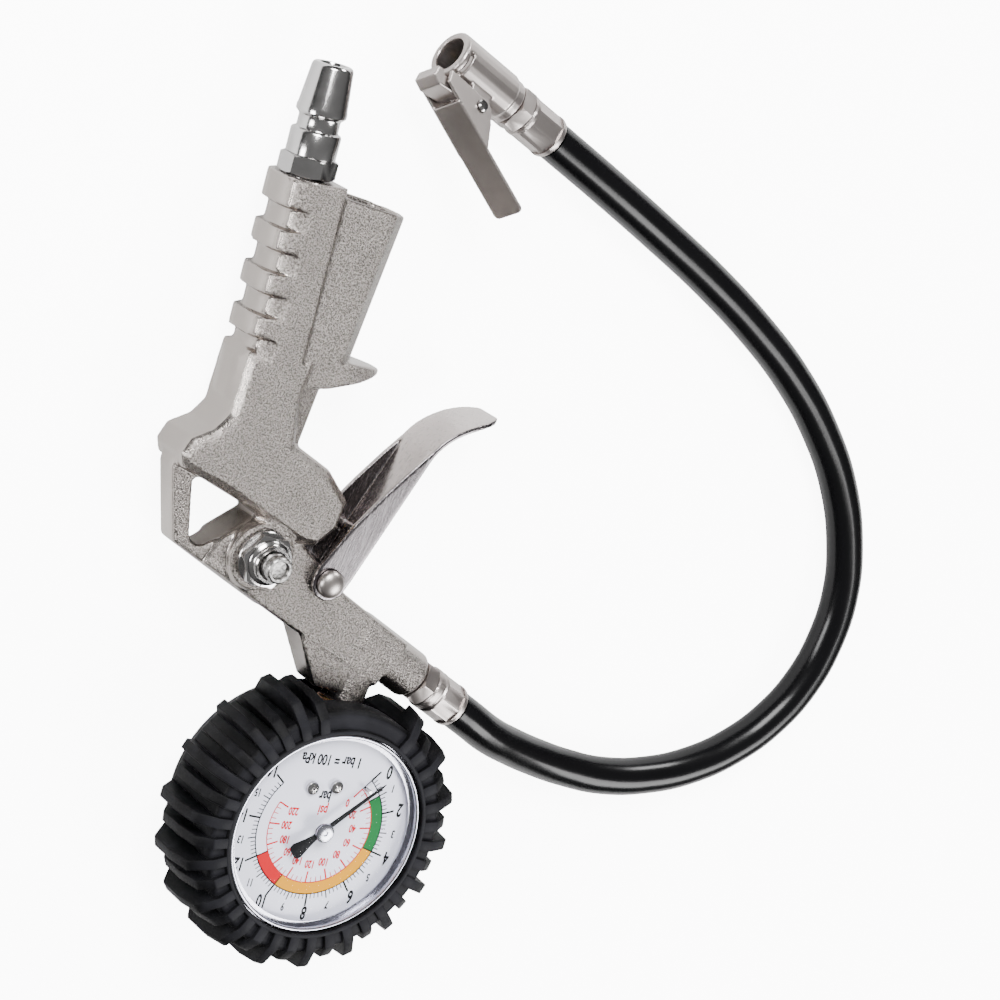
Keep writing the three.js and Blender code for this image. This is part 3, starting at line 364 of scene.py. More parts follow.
def cast_nickel(look):
    """Plated zinc: a sparkling sand texture on the wide faces, satin on the sides."""
    nickel = colours().nickel
    upright = look.facing()[2].math("ABSOLUTE")
    sandy = upright.ramp(0.6, 0.88)
    sand = look.noise(0.0005, 2, rough=0.6)
    cloud = look.noise(0.012, 2)
    satin = look.noise(0.0016, 3)
    pits = (1 - sand.ramp(0.40, 0.58)) * sandy
    dark = [0.3 * c for c in nickel]
    colour = look.mix(pits * 0.85 + cloud * 0.15, nickel, dark)
    rough = sandy * 0.05 + 0.22 + satin * 0.07
    height = sandy * sand + satin * 0.06
    return look.surface(colour, rough, 1.0, Normal=look.bump(height, 0.0004, 1.0))


def chrome(look):
    plate_colour = colours().chrome
    smudge = look.noise(0.004, 3)
    colour = look.mix(smudge, [0.8 * c for c in plate_colour], plate_colour)
    return look.surface(colour, smudge * 0.12 + 0.09, 1.0,
                        Normal=look.bump(look.noise(0.0009, 2), 0.00002, 0.4))


def satin_nickel(look):
    nickel = colours().satin
    cloud = look.noise(0.008, 3)
    colour = look.mix(cloud, [0.9 * c for c in nickel], [1.05 * c for c in nickel])
    return look.surface(colour, cloud * 0.06 + 0.32, 1.0,
                        Normal=look.bump(look.noise(0.0012, 2), 0.00001, 0.3))


def ring_steel(look):
    tone = look.noise(0.004, 2)
    return look.surface(look.mix(tone, (0.34, 0.34, 0.39), (0.46, 0.46, 0.52)),
                        tone * 0.06 + 0.18, 1.0)


def dull_nickel(look):
    tone = look.noise(0.0007, 3)
    return look.surface(look.mix(tone.ramp(0.35, 0.65), (0.16, 0.155, 0.15), (0.40, 0.39, 0.38)),
                        tone * 0.15 + 0.25, 1.0, Normal=look.bump(tone, 0.00006, 0.6))


def scratched_steel(look):
    """Polished sheet with fine scratches across it, and longer ones here and there. Its faces
    turned to ±Z are painted in shade, the others lighter.
    """
    scratch = look.noise(0.0006, 4, stretch=(1.0, 0.08, 1.0), rough=0.7)
    cross = look.noise(0.0009, 3, stretch=(0.12, 1.0, 1.0))
    lines = scratch.ramp(0.52, 0.64)
    # Lit and shaded copies of one steel: the faces turned to ±Z get painted shade, the others a
    # lighter painted tone.
    flange_painted_shade = look.facing()[2].math("ABSOLUTE").ramp(0.5, 0.8)
    sheet = look.mix(flange_painted_shade, (0.52, 0.47, 0.45), (0.15, 0.137, 0.142))
    colour = look.mix(lines * 0.35 + cross * 0.15, sheet, (0.22, 0.21, 0.215))
    return look.surface(colour, lines * 0.14 + cross * 0.10 + 0.15, 1.0,
                        Normal=look.bump(scratch, 0.00003, 0.7))


def brass(look):
    tone = look.noise(0.002, 3)
    return look.surface(look.mix(tone, (0.62, 0.44, 0.20), (0.80, 0.62, 0.32)),
                        tone * 0.15 + 0.22, 1.0)


def copper(look):
    tone = look.noise(0.0015, 3)
    return look.surface(look.mix(tone, (0.55, 0.30, 0.18), (0.80, 0.50, 0.34)),
                        tone * 0.2 + 0.25, 1.0)


def spring_steel(look):
    tone = look.noise(0.001, 2)
    return look.surface(look.mix(tone, (0.38, 0.38, 0.40), (0.56, 0.56, 0.58)),
                        tone * 0.15 + 0.25, 1.0)


def black_enamel(look):
    tone = look.noise(0.003, 2)
    return look.surface(look.mix(tone, (0.018, 0.018, 0.02), (0.035, 0.035, 0.038)),
                        tone * 0.1 + 0.35, Normal=look.bump(tone, 0.00003, 0.4))


def boot_rubber(look):
    rubber = colours().rubber
    pores = look.noise(0.0006, 3)
    dust = look.noise(0.007, 4)
    # The faces turned to +Z are lightened up to nine times the rubber's colour: a painted highlight
    # on the top faces. The dust greys the rubber at random.
    painted_light_on_top = look.facing()[2].ramp(0.75, 0.97)
    colour = look.mix(dust.ramp(0.4, 0.7) * 0.3 + painted_light_on_top * 0.55, rubber, [9 * c for c in rubber])
    return look.surface(colour, dust * 0.14 + pores * 0.1 + 0.42, Specular_IOR_Level=0.09,
                        Normal=look.bump(pores, 0.00006, 0.6))


def hose_rubber(look):
    tube = colours().hose
    skin = look.noise(0.0014, 3)
    wave = look.noise(0.02, 2)
    return look.surface(look.mix(wave, tube, [1.7 * c for c in tube]),
                        wave * 0.06 + skin * 0.04 + 0.17, Specular_IOR_Level=0.22,
                        Normal=look.bump(skin, 0.00004, 0.3))


def seal_rubber(look):
    tone = look.noise(0.001, 2)
    return look.surface(look.mix(tone, (0.02, 0.02, 0.02), (0.04, 0.04, 0.04)), tone * 0.1 + 0.5)


def dial_enamel(look):
    white = colours().dial
    tone = look.noise(0.006, 3)
    return look.surface(look.mix(tone, [0.96 * c for c in white], white), tone * 0.06 + 0.36,
                        Normal=look.bump(look.noise(0.0004, 2), 0.00001, 0.3))


def ink(colour):
    def made(look):
        tone = look.noise(0.0008, 2)
        return look.surface(look.mix(tone * 0.4, colour, [1.15 * c for c in colour]),
                            tone * 0.1 + 0.45, Specular_IOR_Level=0.06)
    return made


def inked(name, colour):
    maker = ink(colour)
    maker.__name__ = name
    return finish(maker)


def clear_lens(look):
    # The lens's grey shows more towards grazing angles: a painted reflection at its rim. The wipe
    # adds a faint smudge.
    grazing_painted_reflection = look.node("ShaderNodeLayerWeight", {}, {"Blend": 0.35}, out="Facing")
    wipe = look.noise(0.01, 3)
    painted_reflection_and_smudge = grazing_painted_reflection.ramp(0.7, 0.99, 0.004, 0.22) + wipe * 0.002
    return look.surface((0.62, 0.66, 0.70), wipe * 0.04 + 0.02, 0.0, Alpha=painted_reflection_and_smudge)


def pale_floor(look):
    tone = look.noise(0.15, 2)
    seen = look.node("ShaderNodeLightPath")
    glow = look.mix(seen, (0, 0, 0), (1, 1, 1))
    return look.surface(look.mix(tone, (0.90, 0.90, 0.90), (0.94, 0.94, 0.94)),
                        tone * 0.1 + 0.6, Emission_Color=glow, Emission_Strength=9.0)


# ------------------------------------------------------------------ sizes and colours
class InflatorSizes(bpy.types.PropertyGroup):
    """Sizes that a user would change"""
    hose_diameter: bpy.props.FloatProperty(
        name="Hose diameter", description="Outside diameter of the rubber hose",
        default=0.0115, unit="LENGTH", precision=4)
    case_radius: bpy.props.FloatProperty(
        name="Case radius", description="Outside radius of the gauge's case, in millimetres",
        default=31.5)
    lug_count: bpy.props.IntProperty(
        name="Lugs", description="Lugs around the rubber boot", default=36)
    lug_width: bpy.props.FloatProperty(
        name="Lug width", description="Width of one lug, in millimetres", default=3.2)
    cast_cell: bpy.props.FloatProperty(
        name="Casting skin", description="Cell of the casting's skin", default=0.00058,
        unit="LENGTH", precision=5)


class InflatorColours(bpy.types.PropertyGroup):
    """Colours that a user would change"""
    nickel: bpy.props.FloatVectorProperty(
        name="Nickel", description="Plated casting", subtype="COLOR",
        default=(0.37, 0.338, 0.315))
    satin: bpy.props.FloatVectorProperty(
        name="Satin nickel", description="Chuck, its lever and the hose fittings",
        subtype="COLOR", default=(0.40, 0.365, 0.35))
    chrome: bpy.props.FloatVectorProperty(
        name="Chrome", description="Polished plug, nuts and rivet", subtype="COLOR",
        default=(0.50, 0.49, 0.485))
    rubber: bpy.props.FloatVectorProperty(
        name="Boot", description="Matt rubber boot", subtype="COLOR",
        default=(0.0018, 0.0018, 0.0022))
    hose: bpy.props.FloatVectorProperty(
        name="Hose", description="Glossy rubber hose", subtype="COLOR",
        default=(0.0015, 0.0015, 0.0018))
    dial: bpy.props.FloatVectorProperty(
        name="Dial", description="Enamel of the dial", subtype="COLOR",
        default=(0.78, 0.79, 0.93))


def sizes():
    return bpy.context.scene.inflator_sizes


# ------------------------------------------------------------------ stage
class INFLATOR_OT_stage(bpy.types.Operator):
    """Pale floor, soft lights and the camera"""
    bl_idname = "inflator.stage"
    bl_label = "Stage"

    def execute(self, context):
        bpy.ops.object.select_all(action="DESELECT")
        bpy.ops.mesh.primitive_plane_add(size=8, location=(0, 0, -0.0002))
        floor = context.object
        floor.name = "floor"
        floor.data.materials.append(finish(pale_floor))
        self.add_light("key_light", (-0.5, 0.9, 1.1), 0.6, 38)
        self.add_light("side_light", (-1.1, -0.2, 0.5), 0.4, 13)
        self.add_light("fill_light", (0.9, -0.5, 0.9), 0.6, 20)
        self.add_light("back_light", (0.5, 1.1, 0.4), 0.3, 9)
        world = bpy.data.worlds.new("studio")
        context.scene.world = world
        world.use_nodes = True
        tree = world.node_tree
        tree.nodes.clear()
        output = tree.nodes.new("ShaderNodeOutputWorld")
        glow = tree.nodes.new("ShaderNodeBackground")
        where = tree.nodes.new("ShaderNodeTexCoord")
        split = tree.nodes.new("ShaderNodeSeparateXYZ")
        ramp = tree.nodes.new("ShaderNodeValToRGB")
        stops = ((0.0, 0.20), (0.12, 0.06), (0.45, 0.34), (1.0, 0.5))
        for k, (place, level) in enumerate(stops):
            stop = (ramp.color_ramp.elements[k] if k < 2
                    else ramp.color_ramp.elements.new(place))
            stop.position, stop.color = place, (level, level, level, 1)
        tree.links.new(where.outputs["Generated"], split.inputs[0])
        tree.links.new(split.outputs["Z"], ramp.inputs[0])
        tree.links.new(ramp.outputs[0], glow.inputs[0])
        tree.links.new(glow.outputs[0], output.inputs[0])
        glow.inputs[1].default_value = 0.6
        right, up, back = (Vector(axis) for axis in CAMERA_AXES)
        bpy.ops.object.camera_add(location=CAMERA_PLACE)
        camera = context.object
        turn = Matrix((right, up, back)).transposed().to_4x4()
        camera.matrix_world = Matrix.Translation(CAMERA_PLACE) @ turn
        camera.data.sensor_width = 36
        camera.data.lens = 127.1
        camera.data.clip_start = 0.05
        context.scene.camera = camera
        return {"FINISHED"}

    def add_light(self, name, place, size, power):
        bpy.ops.object.light_add(type="AREA", location=place)
        light = bpy.context.object
        light.name = name
        light.data.size = size
        light.data.energy = power
        aim = Vector((0.03, 0.03, 0)) - Vector(place)
        light.rotation_euler = aim.to_track_quat("-Z", "Y").to_euler()


# ------------------------------------------------------------------ hose and fittings
FITTINGS = {
    "body": along(*OUTLET),
    "chuck": chuck_place() @ Matrix.Translation((CHUCK_LENGTH, 0, 0)),
}


class INFLATOR_OT_hose(bpy.types.Operator):
    """The free rubber hose, from the body's ferrule to the chuck's"""
    bl_idname = "inflator.hose"
    bl_label = "Hose"

    def execute(self, context):
        start = ahead(*OUTLET, FITTING_REACH)
        end = ahead(CHUCK_MOUTH[:2], CHUCK_DEG, CHUCK_LENGTH + FITTING_REACH)
        points = [(*start, 0), *HOSE_ROUTE, (*end, CHUCK_MOUTH[2])]
        places = [TOOL @ Vector(point) for point in points]
        line = bpy.data.curves.new("hose_tube", "CURVE")
        line.dimensions = "3D"
        line.bevel_depth = sizes().hose_diameter / 2
        line.bevel_resolution = 14
        line.resolution_u = 10
        line.use_fill_caps = True
        spline = line.splines.new("BEZIER")
        spline.bezier_points.add(len(places) - 1)
        for knot, place in zip(spline.bezier_points, places):
            knot.co = place
            knot.handle_left_type = knot.handle_right_type = "AUTO"
        tube = bpy.data.objects.new("hose_tube", line)
        context.scene.collection.objects.link(tube)
        line.materials.append(finish(hose_rubber))
        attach(tube, "tool")
        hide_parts("hose")
        return {"FINISHED"}


class INFLATOR_OT_fittings(bpy.types.Operator):
    """A hexagon and a crimped ferrule at each end of the hose"""
    bl_idname = "inflator.fittings"
    bl_label = "Hose fittings"

    def execute(self, context):
        for end, place in FITTINGS.items():
            thread = 4.4 if end == "body" else 3.7
            stem = turned([(2, -6), (thread, -6), (thread, 1.5), (3.4, 1.5), (3.4, 17.6), (2, 17.6),
                           (2, -6)], 48)
            nut = fuse(bevel(hexagon(12, 0.3, 4.9), 0.25), stem)
            finished(nut, f"fitting_{end}", "tool", finish(satin_nickel),
                     place @ LYING, [f"hose_barb_{end}"])
            finished(self.ferrule(end), f"crimp_{end}", "tool",
                     finish(satin_nickel), place @ LYING, [f"hose_ferrule_{end}"])
        return {"FINISHED"}

    def ferrule(self, end):
        """A crimped sleeve: round at its ends, with eight flats along its middle."""
        waist = [(6.5, 7.4), (6.1, 7.9), (6.1, 8.3)] if end == "body" else []
        sleeve = turned([(3.7, 5.2), (6.0, 5.2), (6.5, 5.7), *waist, (6.45, 8.8), (6.5, 17.2),
                         (6.3, 17.9), (5.85, 18.25), (3.7, 18.25), (3.7, 5.2)], 96)
        first = 9.3 if end == "body" else 6.6
        flats = turned([(0, first), (8, first), (8, 16.4), (0, 16.4)], 48)
        core = plate([(6.35 * cos(k * tau / 8), 6.35 * sin(k * tau / 8)) for k in range(8)], 5, 20)
        return bevel(cut(sleeve, cut(flats, core)), 0.18, 2)


# ------------------------------------------------------------------ casting
class INFLATOR_OT_casting(bpy.types.Operator):
    """The plated body casting, with every corner rounded over"""
    bl_idname = "inflator.casting"
    bl_label = "Casting"

    def execute(self, context):
        skin = node_copy("body_casting", sizes().cast_cell, 5)
        finished(skin, "casting", "tool", finish(cast_nickel),
                 stands_for=["body_casting"], degrees=60)
        return {"FINISHED"}


class INFLATOR_OT_plug(bpy.types.Operator):
    """The push-on air-line plug with its hexagon"""
    bl_idname = "inflator.plug"
    bl_label = "Inlet plug"

    def execute(self, context):
        bore = turned([(0, 20), (3.1, 20), (3.4, 20.5), (3.4, 29.9), (3.9, 31.2), (0, 31.2)], 64)
        body = turned([(0, -9), (5.1, -9), (5.1, 0.4), (6.2, 0.4), (6.2, 5.4), (6.6, 5.4),
                       (6.95, 5.9), (7.0, 12.0), (6.7, 12.5), (5.9, 12.9), (5.75, 13.3),
                       (5.75, 15.9), (5.9, 16.4), (6.7, 17.1), (6.95, 17.4), (7.0, 18.6),
                       (6.8, 19.2), (5.75, 29.9), (5.5, 30.5), (5.0, 30.9), (0, 30.9)], 96)
        nut = bevel(hexagon(14, 0.3, 5.7), 0.3)
        plug = cut(fuse(nut, body), bore)
        finished(plug, "inlet_plug", "tool", finish(chrome), along(*INLET) @ LYING,
                 ["inlet_nipple"])
        return {"FINISHED"}


# ------------------------------------------------------------------ gauge
DIAL_TOP = 14.6
BACK_SLANT = 0.24                         # of the print's upright strokes
PRINT_TURN = 12.5                          # the print's own top is turned this far from -Y
ZERO_DEG = 57.5
BAR_DEG = 16.875
PSI_DEG = BAR_DEG * 0.0689476
INK_LOW, INK_HIGH = DIAL_TOP - 0.02, DIAL_TOP + 0.03
BLACK_INK, RED_INK = (0.002, 0.002, 0.003), (0.50, 0.0, 0.03)
BANDS = {"green": (1, 4, (0.002, 0.14, 0.03)), "yellow": (4, 10, (0.70, 0.30, 0.0)),
         "red": (10, 12, (0.55, 0.0, 0.008))}


def dial_angle(bar):
    return radians(ZERO_DEG - BAR_DEG * bar)


def arc(inner, outer, first, last, steps=40):
    """A flat band on the dial between two angles."""
    turns = [first + (last - first) * k / steps for k in range(steps + 1)]
    rim = [(outer * cos(t), outer * sin(t)) for t in turns]
    back = [(inner * cos(t), inner * sin(t)) for t in reversed(turns)]
    return plate(rim + back, INK_LOW, INK_HIGH)


def tick(inner, outer, width, turn):
    mark = box((inner, -width / 2, INK_LOW), (outer, width / 2, INK_HIGH + 0.01))
    return move(mark, Matrix.Rotation(turn, 4, "Z"))


def words(text, place, size, squeeze=0.66, weight=0.07):
    """A line of text on the dial, centred on the place."""
    bpy.ops.object.select_all(action="DESELECT")
    bpy.ops.object.text_add()
    made = bpy.context.object
    made.data.body = text
    made.data.size = size
    made.data.align_x = "CENTER"
    made.data.align_y = "CENTER"
    made.data.bevel_depth = weight
    made.data.bevel_resolution = 0
    made.data.extrude = 0.02
    made.data.resolution_u = 4
    bpy.ops.object.convert(target="MESH")
    made = bpy.context.object
    turn = Matrix.Rotation(radians(180 + PRINT_TURN), 4, "Z")
    spot = Matrix.Translation((*place, DIAL_TOP + 0.025))
    slant = Matrix.Identity(4)
    slant[0][1] = BACK_SLANT
    return move(made, spot @ turn @ slant @ Matrix.Diagonal((squeeze, 1, 0.3, 1)))


def on_dial(radius, degrees):
    return (radius * cos(radians(degrees)), radius * sin(radians(degrees)))


class INFLATOR_OT_dial(bpy.types.Operator):
    """The white dial with its two scales"""
    bl_idname = "inflator.dial"
    bl_label = "Dial"

    def execute(self, context):
        disc = turned([(0, 14.0), (29.8, 14.0), (29.8, DIAL_TOP - 0.05), (29.75, DIAL_TOP),
                       (0, DIAL_TOP)], 128)
        finished(disc, "dial_face", "tool", finish(dial_enamel), TOOL,
                 ["dial_plate"])
        for name, (first, last, colour) in BANDS.items():
            band = arc(16.75, 20.1, dial_angle(first), dial_angle(last))
            finished(band, f"dial_band_{name}", "tool",
                     inked(f"{name}_ink", colour), TOOL)
        finished(joined(self.bar_scale()), "dial_bar_scale", "tool",
                 inked("black_ink", BLACK_INK), TOOL)
        finished(joined(self.psi_scale()), "dial_psi_scale", "tool",
                 inked("red_ink", RED_INK), TOOL)
        return {"FINISHED"}

    def bar_scale(self):
        marks = [arc(20.0, 20.32, dial_angle(0), dial_angle(16), 90)]
        for k in range(81):
            reach, width = (21.7, 0.26)
            if k % 5 == 0:
                reach, width = (22.6, 0.34)
            if k % 10 == 0:
                reach, width = (23.9, 0.55)
            marks.append(tick(20.2, reach, width, dial_angle(k / 5)))
        for bar in (0, 1, 4, 10, 12):
            marks.append(tick(16.7, 20.2, 0.34, dial_angle(bar)))
        for bar in range(0, 17, 2):
            degrees = ZERO_DEG - BAR_DEG * bar - (4.5 if bar == 0 else 0)
            marks.append(words(str(bar), on_dial(25.9, degrees), 5.5, 0.62, 0.16))
        for bar in range(1, 16, 2):
            degrees = ZERO_DEG - BAR_DEG * bar
            marks.append(words(str(bar), on_dial(24.8, degrees), 3.2, weight=0.09))
        marks.append(words("bar", on_dial(10.0, 103), 4.4, weight=0.13))
        marks.append(words("1 bar = 100 kPa", on_dial(20.9, 102.5), 4.3, 0.72, 0.12))
        return marks

    def psi_scale(self):
        angle = lambda psi: radians(ZERO_DEG - PSI_DEG * psi)
        marks = [arc(16.45, 16.75, angle(0), angle(220), 80)]
        for k in range(45):
            reach, width = (13.2, 0.46) if k % 4 == 0 else (15.0, 0.22)
            marks.append(tick(reach, 16.6, width, angle(5 * k)))
        for psi in range(0, 221, 20):
            degrees = ZERO_DEG - PSI_DEG * psi
            marks.append(words(str(psi), on_dial(10.9, degrees), 3.2, 0.66, 0.11))
        marks.append(words("psi", on_dial(5.6, 102.5), 4.2, weight=0.11))
        return marks


class INFLATOR_OT_gauge(bpy.types.Operator):
    """Pointer, cap, screws, zero stop, lens, bezel and the copper washer"""
    bl_idname = "inflator.gauge"
    bl_label = "Gauge"

    def execute(self, context):
        turn = Matrix.Rotation(radians(50), 4, "Z")
        outline = [(-10.9, 0), (-10.8, 1.2), (-10.4, 2.2), (-9.2, 2.5), (-7, 1.9), (-5, 1.35),
                   (-3, 1.0), (2, 0.75), (20.8, 0.34), (22.8, 0)]
        outline += [(x, -y) for x, y in reversed(outline[1:-1])]
        blade = bevel(plate(outline, 16.6, 17.1), 0.12, 2)
        hub = turned([(0, 16.5), (2.2, 16.5), (2.3, 16.6), (2.3, 17.3), (2.1, 17.5), (0, 17.5)],
                     64)
        finished(fuse(blade, hub), "pointer_blade", "pointer_arbor",
                 inked("pointer_paint", (0.003, 0.0032, 0.004)), TOOL @ turn, ["pointer"])
        cap = turned([(0, 17.8), (2.8, 17.8), (2.9, 17.9), (2.9, 18.2), (2.75, 18.45),
                      (2.45, 18.6), (0.8, 18.6), (0.7, 18.5), (0.62, 18.25), (0, 18.25)], 64)
        finished(cap, "arbor_cap", "pointer_arbor", finish(ring_steel), TOOL,
                 ["pointer_cap"])
        for number, (x, y) in ((1, (-7.6, 11.3)), (2, (0, 13.1))):
            finished(self.screw(), f"cross_screw_{number}", "tool", finish(chrome),
                     TOOL @ Matrix.Translation((x, y, 0)) @ Matrix.Rotation(0.4 * number, 4, "Z"),
                     [f"dial_screw_{number}"])
        stop = turned([(0, 11.6), (0.6, 11.6), (0.6, 17.3), (0.45, 17.5), (0, 17.5)], 32)
        finished(stop, "stop_pin", "tool", finish(chrome),
                 TOOL @ Matrix.Translation((10, 14.3, 0)), ["zero_stop_pin"])
        lens = turned([(0, 19.2), (8, 19.15), (16, 18.8), (24, 18.0), (28.6, 17.0), (28.6, 18.0),
                       (28.3, 18.5), (27.4, 18.95), (24, 19.5), (16, 20.3), (8, 20.65),
                       (0, 20.7)], 128)
        finished(lens, "dial_lens", "tool", finish(clear_lens), TOOL, ["lens"],
                 60)
        hoop = turned([(27.7, 16.3), (31.5, 16.3), (31.5, 16.8), (30.1, 16.8), (30.1, 18.5),
                       (29.95, 18.8), (29.7, 18.9), (29.3, 18.9), (29.0, 18.75), (28.9, 18.5),
                       (28.9, 16.65), (27.7, 16.65), (27.7, 16.3)], 128)
        finished(hoop, "lens_ring", "tool", finish(ring_steel), TOOL, ["lens_bezel"])
        washer = turned([(4.9, 32.4), (6.25, 32.4), (6.4, 32.6), (6.4, 33.7), (6.25, 33.9),
                         (4.9, 33.9), (4.9, 32.4)], 72)
        finished(washer, "copper_washer", "tool", finish(copper), TOOL @ FACING_Y,
                 ["gauge_port_washer"])
        return {"FINISHED"}

    def screw(self):
        head = turned([(0, 6.5), (1, 6.5), (1, 14.9), (2.0, 14.9), (2.0, 15.2), (1.8, 15.7),
                       (1.2, 16.1), (0, 16.25)], 48)
        cross = [box((-1.15, -0.2, 15.6), (1.15, 0.2, 17)), box((-0.2, -1.15, 15.6),
                                                                  (0.2, 1.15, 17))]
        return cut(head, *cross)


LUGS_LEFT_OUT = (7, 8, 9, 10)              # above the gauge's port


class INFLATOR_OT_boot(bpy.types.Operator):
    """The rubber boot: a cup with a ring of tall lugs like a tyre's"""
    bl_idname = "inflator.boot"
    bl_label = "Rubber boot"

    def execute(self, context):
        inner = sizes().case_radius + 0.3
        outer = inner + 5.2
        cup = turned([(0, -14), (outer - 3.4, -14), (outer - 2.6, -13.6), (outer - 0.2, -8.6),
                      (outer, -8), (outer, 17), (outer - 0.3, 17.8), (outer - 1.2, 18.5),
                      (outer - 2, 18.7), (32.4, 18.7), (32.0, 18.9), (31.8, 19.6), (31.6, 19.9),
                      (31.3, 20), (30.8, 20), (30.5, 19.85), (30.4, 19.5), (30.4, 17.2),
                      (inner, 17.2), (inner, -12.4), (0, -12.4)], 144)
        lugs = []
        for k in range(sizes().lug_count):
            if k not in LUGS_LEFT_OUT:
                lug = self.lug(outer, 4.4 if k % 2 else 6.6)
                lugs.append(move(lug, Matrix.Rotation((k + 0.5) * tau / sizes().lug_count, 4,
                                                      "Z")))
        fuse(cup, joined(lugs))
        cut(cup, box((-13, 20, -11), (13, 50, 9.4)), box((-17, outer + 0.4, -11), (21, 50, 9.4)))
        finished(cup, "rubber_boot", "tool", finish(boot_rubber), TOOL,
                 ["gauge_boot"], 35)
        return {"FINISHED"}

    def lug(self, outer, reach):
        root = outer - 2
        tip = outer + reach
        side = [(root, -11), (tip - 0.4, -2.6), (tip, -1.8), (tip, 7.6), (tip - 0.2, 9),
                (tip - 1.2, 16), (tip - 1.9, 16.9), (outer - 1.2, 19.95), (31.3, 19.95),
                (31.3, 18), (root, 17)]
        half = sizes().lug_width / 2
        lug = move(plate(side, -half, half), Matrix.Rotation(radians(90), 4, "X"))
        return bevel(lug, 0.35, 2)


# ------------------------------------------------------------------ trigger and valves
class INFLATOR_OT_trigger(bpy.types.Operator):
    """The bent sheet trigger, its dome rivet and the valve's push pin"""
    bl_idname = "inflator.trigger"
    bl_label = "Trigger"

    def execute(self, context):
        lever = node_copy("trigger_lever", 0.00034, 4)
        finished(lever, "trigger_sheet", "trigger", finish(scratched_steel),
                 stands_for=["trigger_lever"], degrees=60)
        head = 9.3
        dome = [(4.1 * cos(t), head + 0.5 + 2.4 * sin(t))
                for t in (k * pi / 20 for k in range(10))]
        rivet = turned([(0, -head - 1.5), (2.6, -head - 1.5), (3.4, -head - 1.1),
                        (3.6, -head - 0.5), (3.6, -head), (2, -head), (2, head), (4.1, head),
                        *dome, (0, head + 2.9)], 72)
        finished(rivet, "dome_rivet", "tool", finish(satin_nickel),
                 TOOL @ Matrix.Translation((*TRIGGER_PIVOT, 0)), ["trigger_rivet"], 50)
        pin = turned([(0, -37.6), (3.6, -37.6), (3.6, -35.4), (1.2, -35.4), (1.2, -21),
                      (1.9, -20), (1.9, -7.4), (1.5, -7.1), (1.5, -6.2), (1.9, -5.9), (1.9, -1.4),
                      (1.7, -0.8), (1.2, -0.3), (0, -0.3)], 48)
        finished(pin, "push_pin", "valve_plunger", finish(chrome),
                 along(*PUSH_PIN) @ LYING, ["valve_stem"])
        return {"FINISHED"}


class INFLATOR_OT_bleed(bpy.types.Operator):
    """The bleed valve's nut and its stepped button"""
    bl_idname = "inflator.bleed"
    bl_label = "Bleed valve"

    def execute(self, context):
        place = TOOL @ Matrix.Translation((*BLEED, 0))
        nut = bevel(hexagon(14, 9.9, 13.0), 0.25)
        neck = turned([(3.4, 2), (3.9, 2), (3.9, 9.35), (7.8, 9.35), (8.0, 9.55), (8.0, 10.15),
                       (7.8, 10.35), (6.2, 10.35), (6.2, 12.8), (6.4, 13.0),
                       (6.4, 13.5), (6.2, 13.75), (5.6, 14.0), (5.35, 14.3), (5.35, 15.4),
                       (5.1, 15.7), (4.35, 15.7), (4.2, 15.5), (4.2, 12), (3.4, 12), (3.4, 2)], 96)
        finished(fuse(nut, neck), "bleed_collar", "tool", finish(chrome), place,
                 ["bleed_nut"])
        button = turned([(0, -1.6), (2.4, -1.6), (2.4, -0.8), (1.2, -0.8), (1.2, 14.2),
                         (3.9, 14.2), (3.9, 17.0), (3.7, 17.2), (3.7, 17.5), (3.9, 17.7),
                         (3.9, 19.3), (3.7, 19.7), (3.3, 20), (2.8, 20), (2.6, 19.8),
                         (2.45, 19.1), (0, 18.9)], 72)
        finished(button, "bleed_push_button", "bleed_plunger", finish(dull_nickel),
                 place,
                 ["bleed_button"])
        return {"FINISHED"}


# ------------------------------------------------------------------ chuck
class INFLATOR_OT_chuck(bpy.types.Operator):
    """The clip-on chuck: its body, lever, claw and pin"""
    bl_idname = "inflator.chuck"
    bl_label = "Chuck"

    def execute(self, context):
        shapes = (("chuck_body", "chuck_shell", "tool", 0.0003),
                  ("chuck_lever", "clip_lever", "chuck_jaw", 0.00024),
                  ("chuck_claw", "clip_claw", "chuck_jaw", 0.00024))
        for node, name, body, cell in shapes:
            finished(node_copy(node, cell, 3), name, body, finish(satin_nickel),
                     stands_for=[node], degrees=60)
        ends = [(1.1, 5.6), (1.8, 5.6), (1.75, 6.0), (1.4, 6.35), (0, 6.4)]
        pin = turned([(0, -6.4), (1.4, -6.35), (1.75, -6.0), (1.8, -5.6), (1.1, -5.6), *ends], 48)
        finished(pin, "clip_pin", "tool", finish(chrome),
                 chuck_place() @ Matrix.Translation((11.4, 0, 12)) @ FACING_Y,
                 ["chuck_pivot_pin"])
        return {"FINISHED"}


# ------------------------------------------------------------------ inner works
INNER = {
    brass: ["gauge_stem", "bourdon_tube", "movement_frame", "sector_gear", "sector_link",
            "hairspring", "valve_seat", "valve_guide_nut", "chuck_probe"],
    spring_steel: ["pinion_shaft", "valve_spring", "bleed_spring", "chuck_spring"],
    seal_rubber: ["valve_seal", "stem_o_ring", "bleed_seal", "chuck_seal"],
    black_enamel: ["gauge_case"],
}


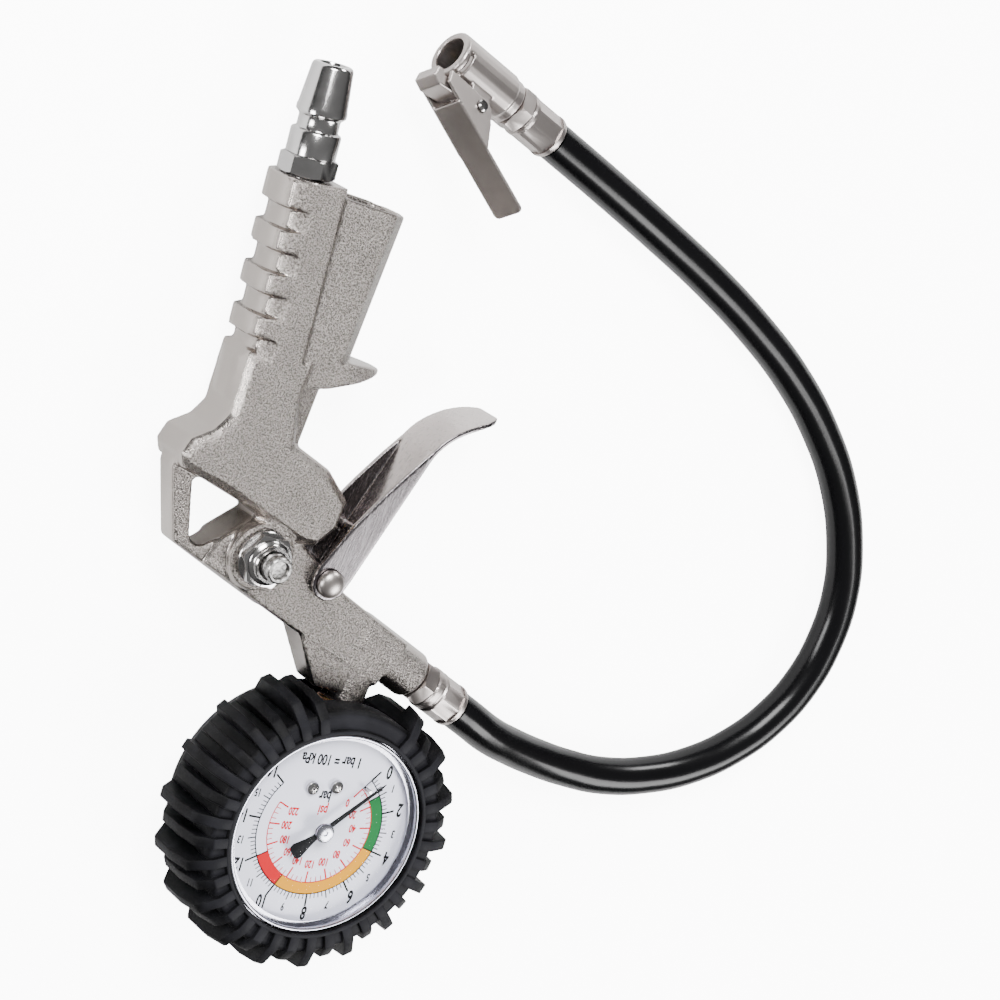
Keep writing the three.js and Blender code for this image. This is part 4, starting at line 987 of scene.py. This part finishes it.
class INFLATOR_OT_inner(bpy.types.Operator):
    """Finishes for the pieces inside the gauge, the valves and the chuck"""
    bl_idname = "inflator.inner"
    bl_label = "Inner works"

    def execute(self, context):
        for maker, nodes in INNER.items():
            for node in nodes:
                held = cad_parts[node]
                held.data.materials.clear()
                held.data.materials.append(finish(maker))
        return {"FINISHED"}


class INFLATOR_OT_cord(bpy.types.Operator):
    bl_idname = "inflator.cord"
    bl_label = "Cord"

    def execute(self, context):
        return {"FINISHED"}


STEPS = (INFLATOR_OT_stage, INFLATOR_OT_hose, INFLATOR_OT_fittings, INFLATOR_OT_casting,
         INFLATOR_OT_plug, INFLATOR_OT_dial, INFLATOR_OT_gauge, INFLATOR_OT_boot,
         INFLATOR_OT_trigger, INFLATOR_OT_bleed, INFLATOR_OT_chuck, INFLATOR_OT_inner,
         INFLATOR_OT_cord)


class INFLATOR_PT_panel(bpy.types.Panel):
    """Lists the steps that model the inflator"""
    bl_idname = "INFLATOR_PT_panel"
    bl_label = "Tyre inflator"
    bl_space_type = "VIEW_3D"
    bl_region_type = "UI"
    bl_category = "Inflator"

    def draw(self, context):
        for name in ("hose_diameter", "case_radius", "lug_count", "lug_width", "cast_cell"):
            self.layout.prop(context.scene.inflator_sizes, name)
        for name in ("nickel", "satin", "chrome", "rubber", "hose", "dial"):
            self.layout.prop(context.scene.inflator_colours, name)
        for step in STEPS:
            self.layout.operator(step.bl_idname)


CLASSES = (InflatorSizes, InflatorColours, *STEPS, INFLATOR_PT_panel)


def register():
    for made in CLASSES:
        bpy.utils.register_class(made)
    bpy.types.Scene.inflator_sizes = bpy.props.PointerProperty(type=InflatorSizes)
    bpy.types.Scene.inflator_colours = bpy.props.PointerProperty(type=InflatorColours)


def unregister():
    del bpy.types.Scene.inflator_colours
    del bpy.types.Scene.inflator_sizes
    for made in reversed(CLASSES):
        bpy.utils.unregister_class(made)


def main():
    register()
    for step in STEPS:
        group, name = step.bl_idname.split(".")
        getattr(getattr(bpy.ops, group), name)()


if __name__ == "__main__":
    main()
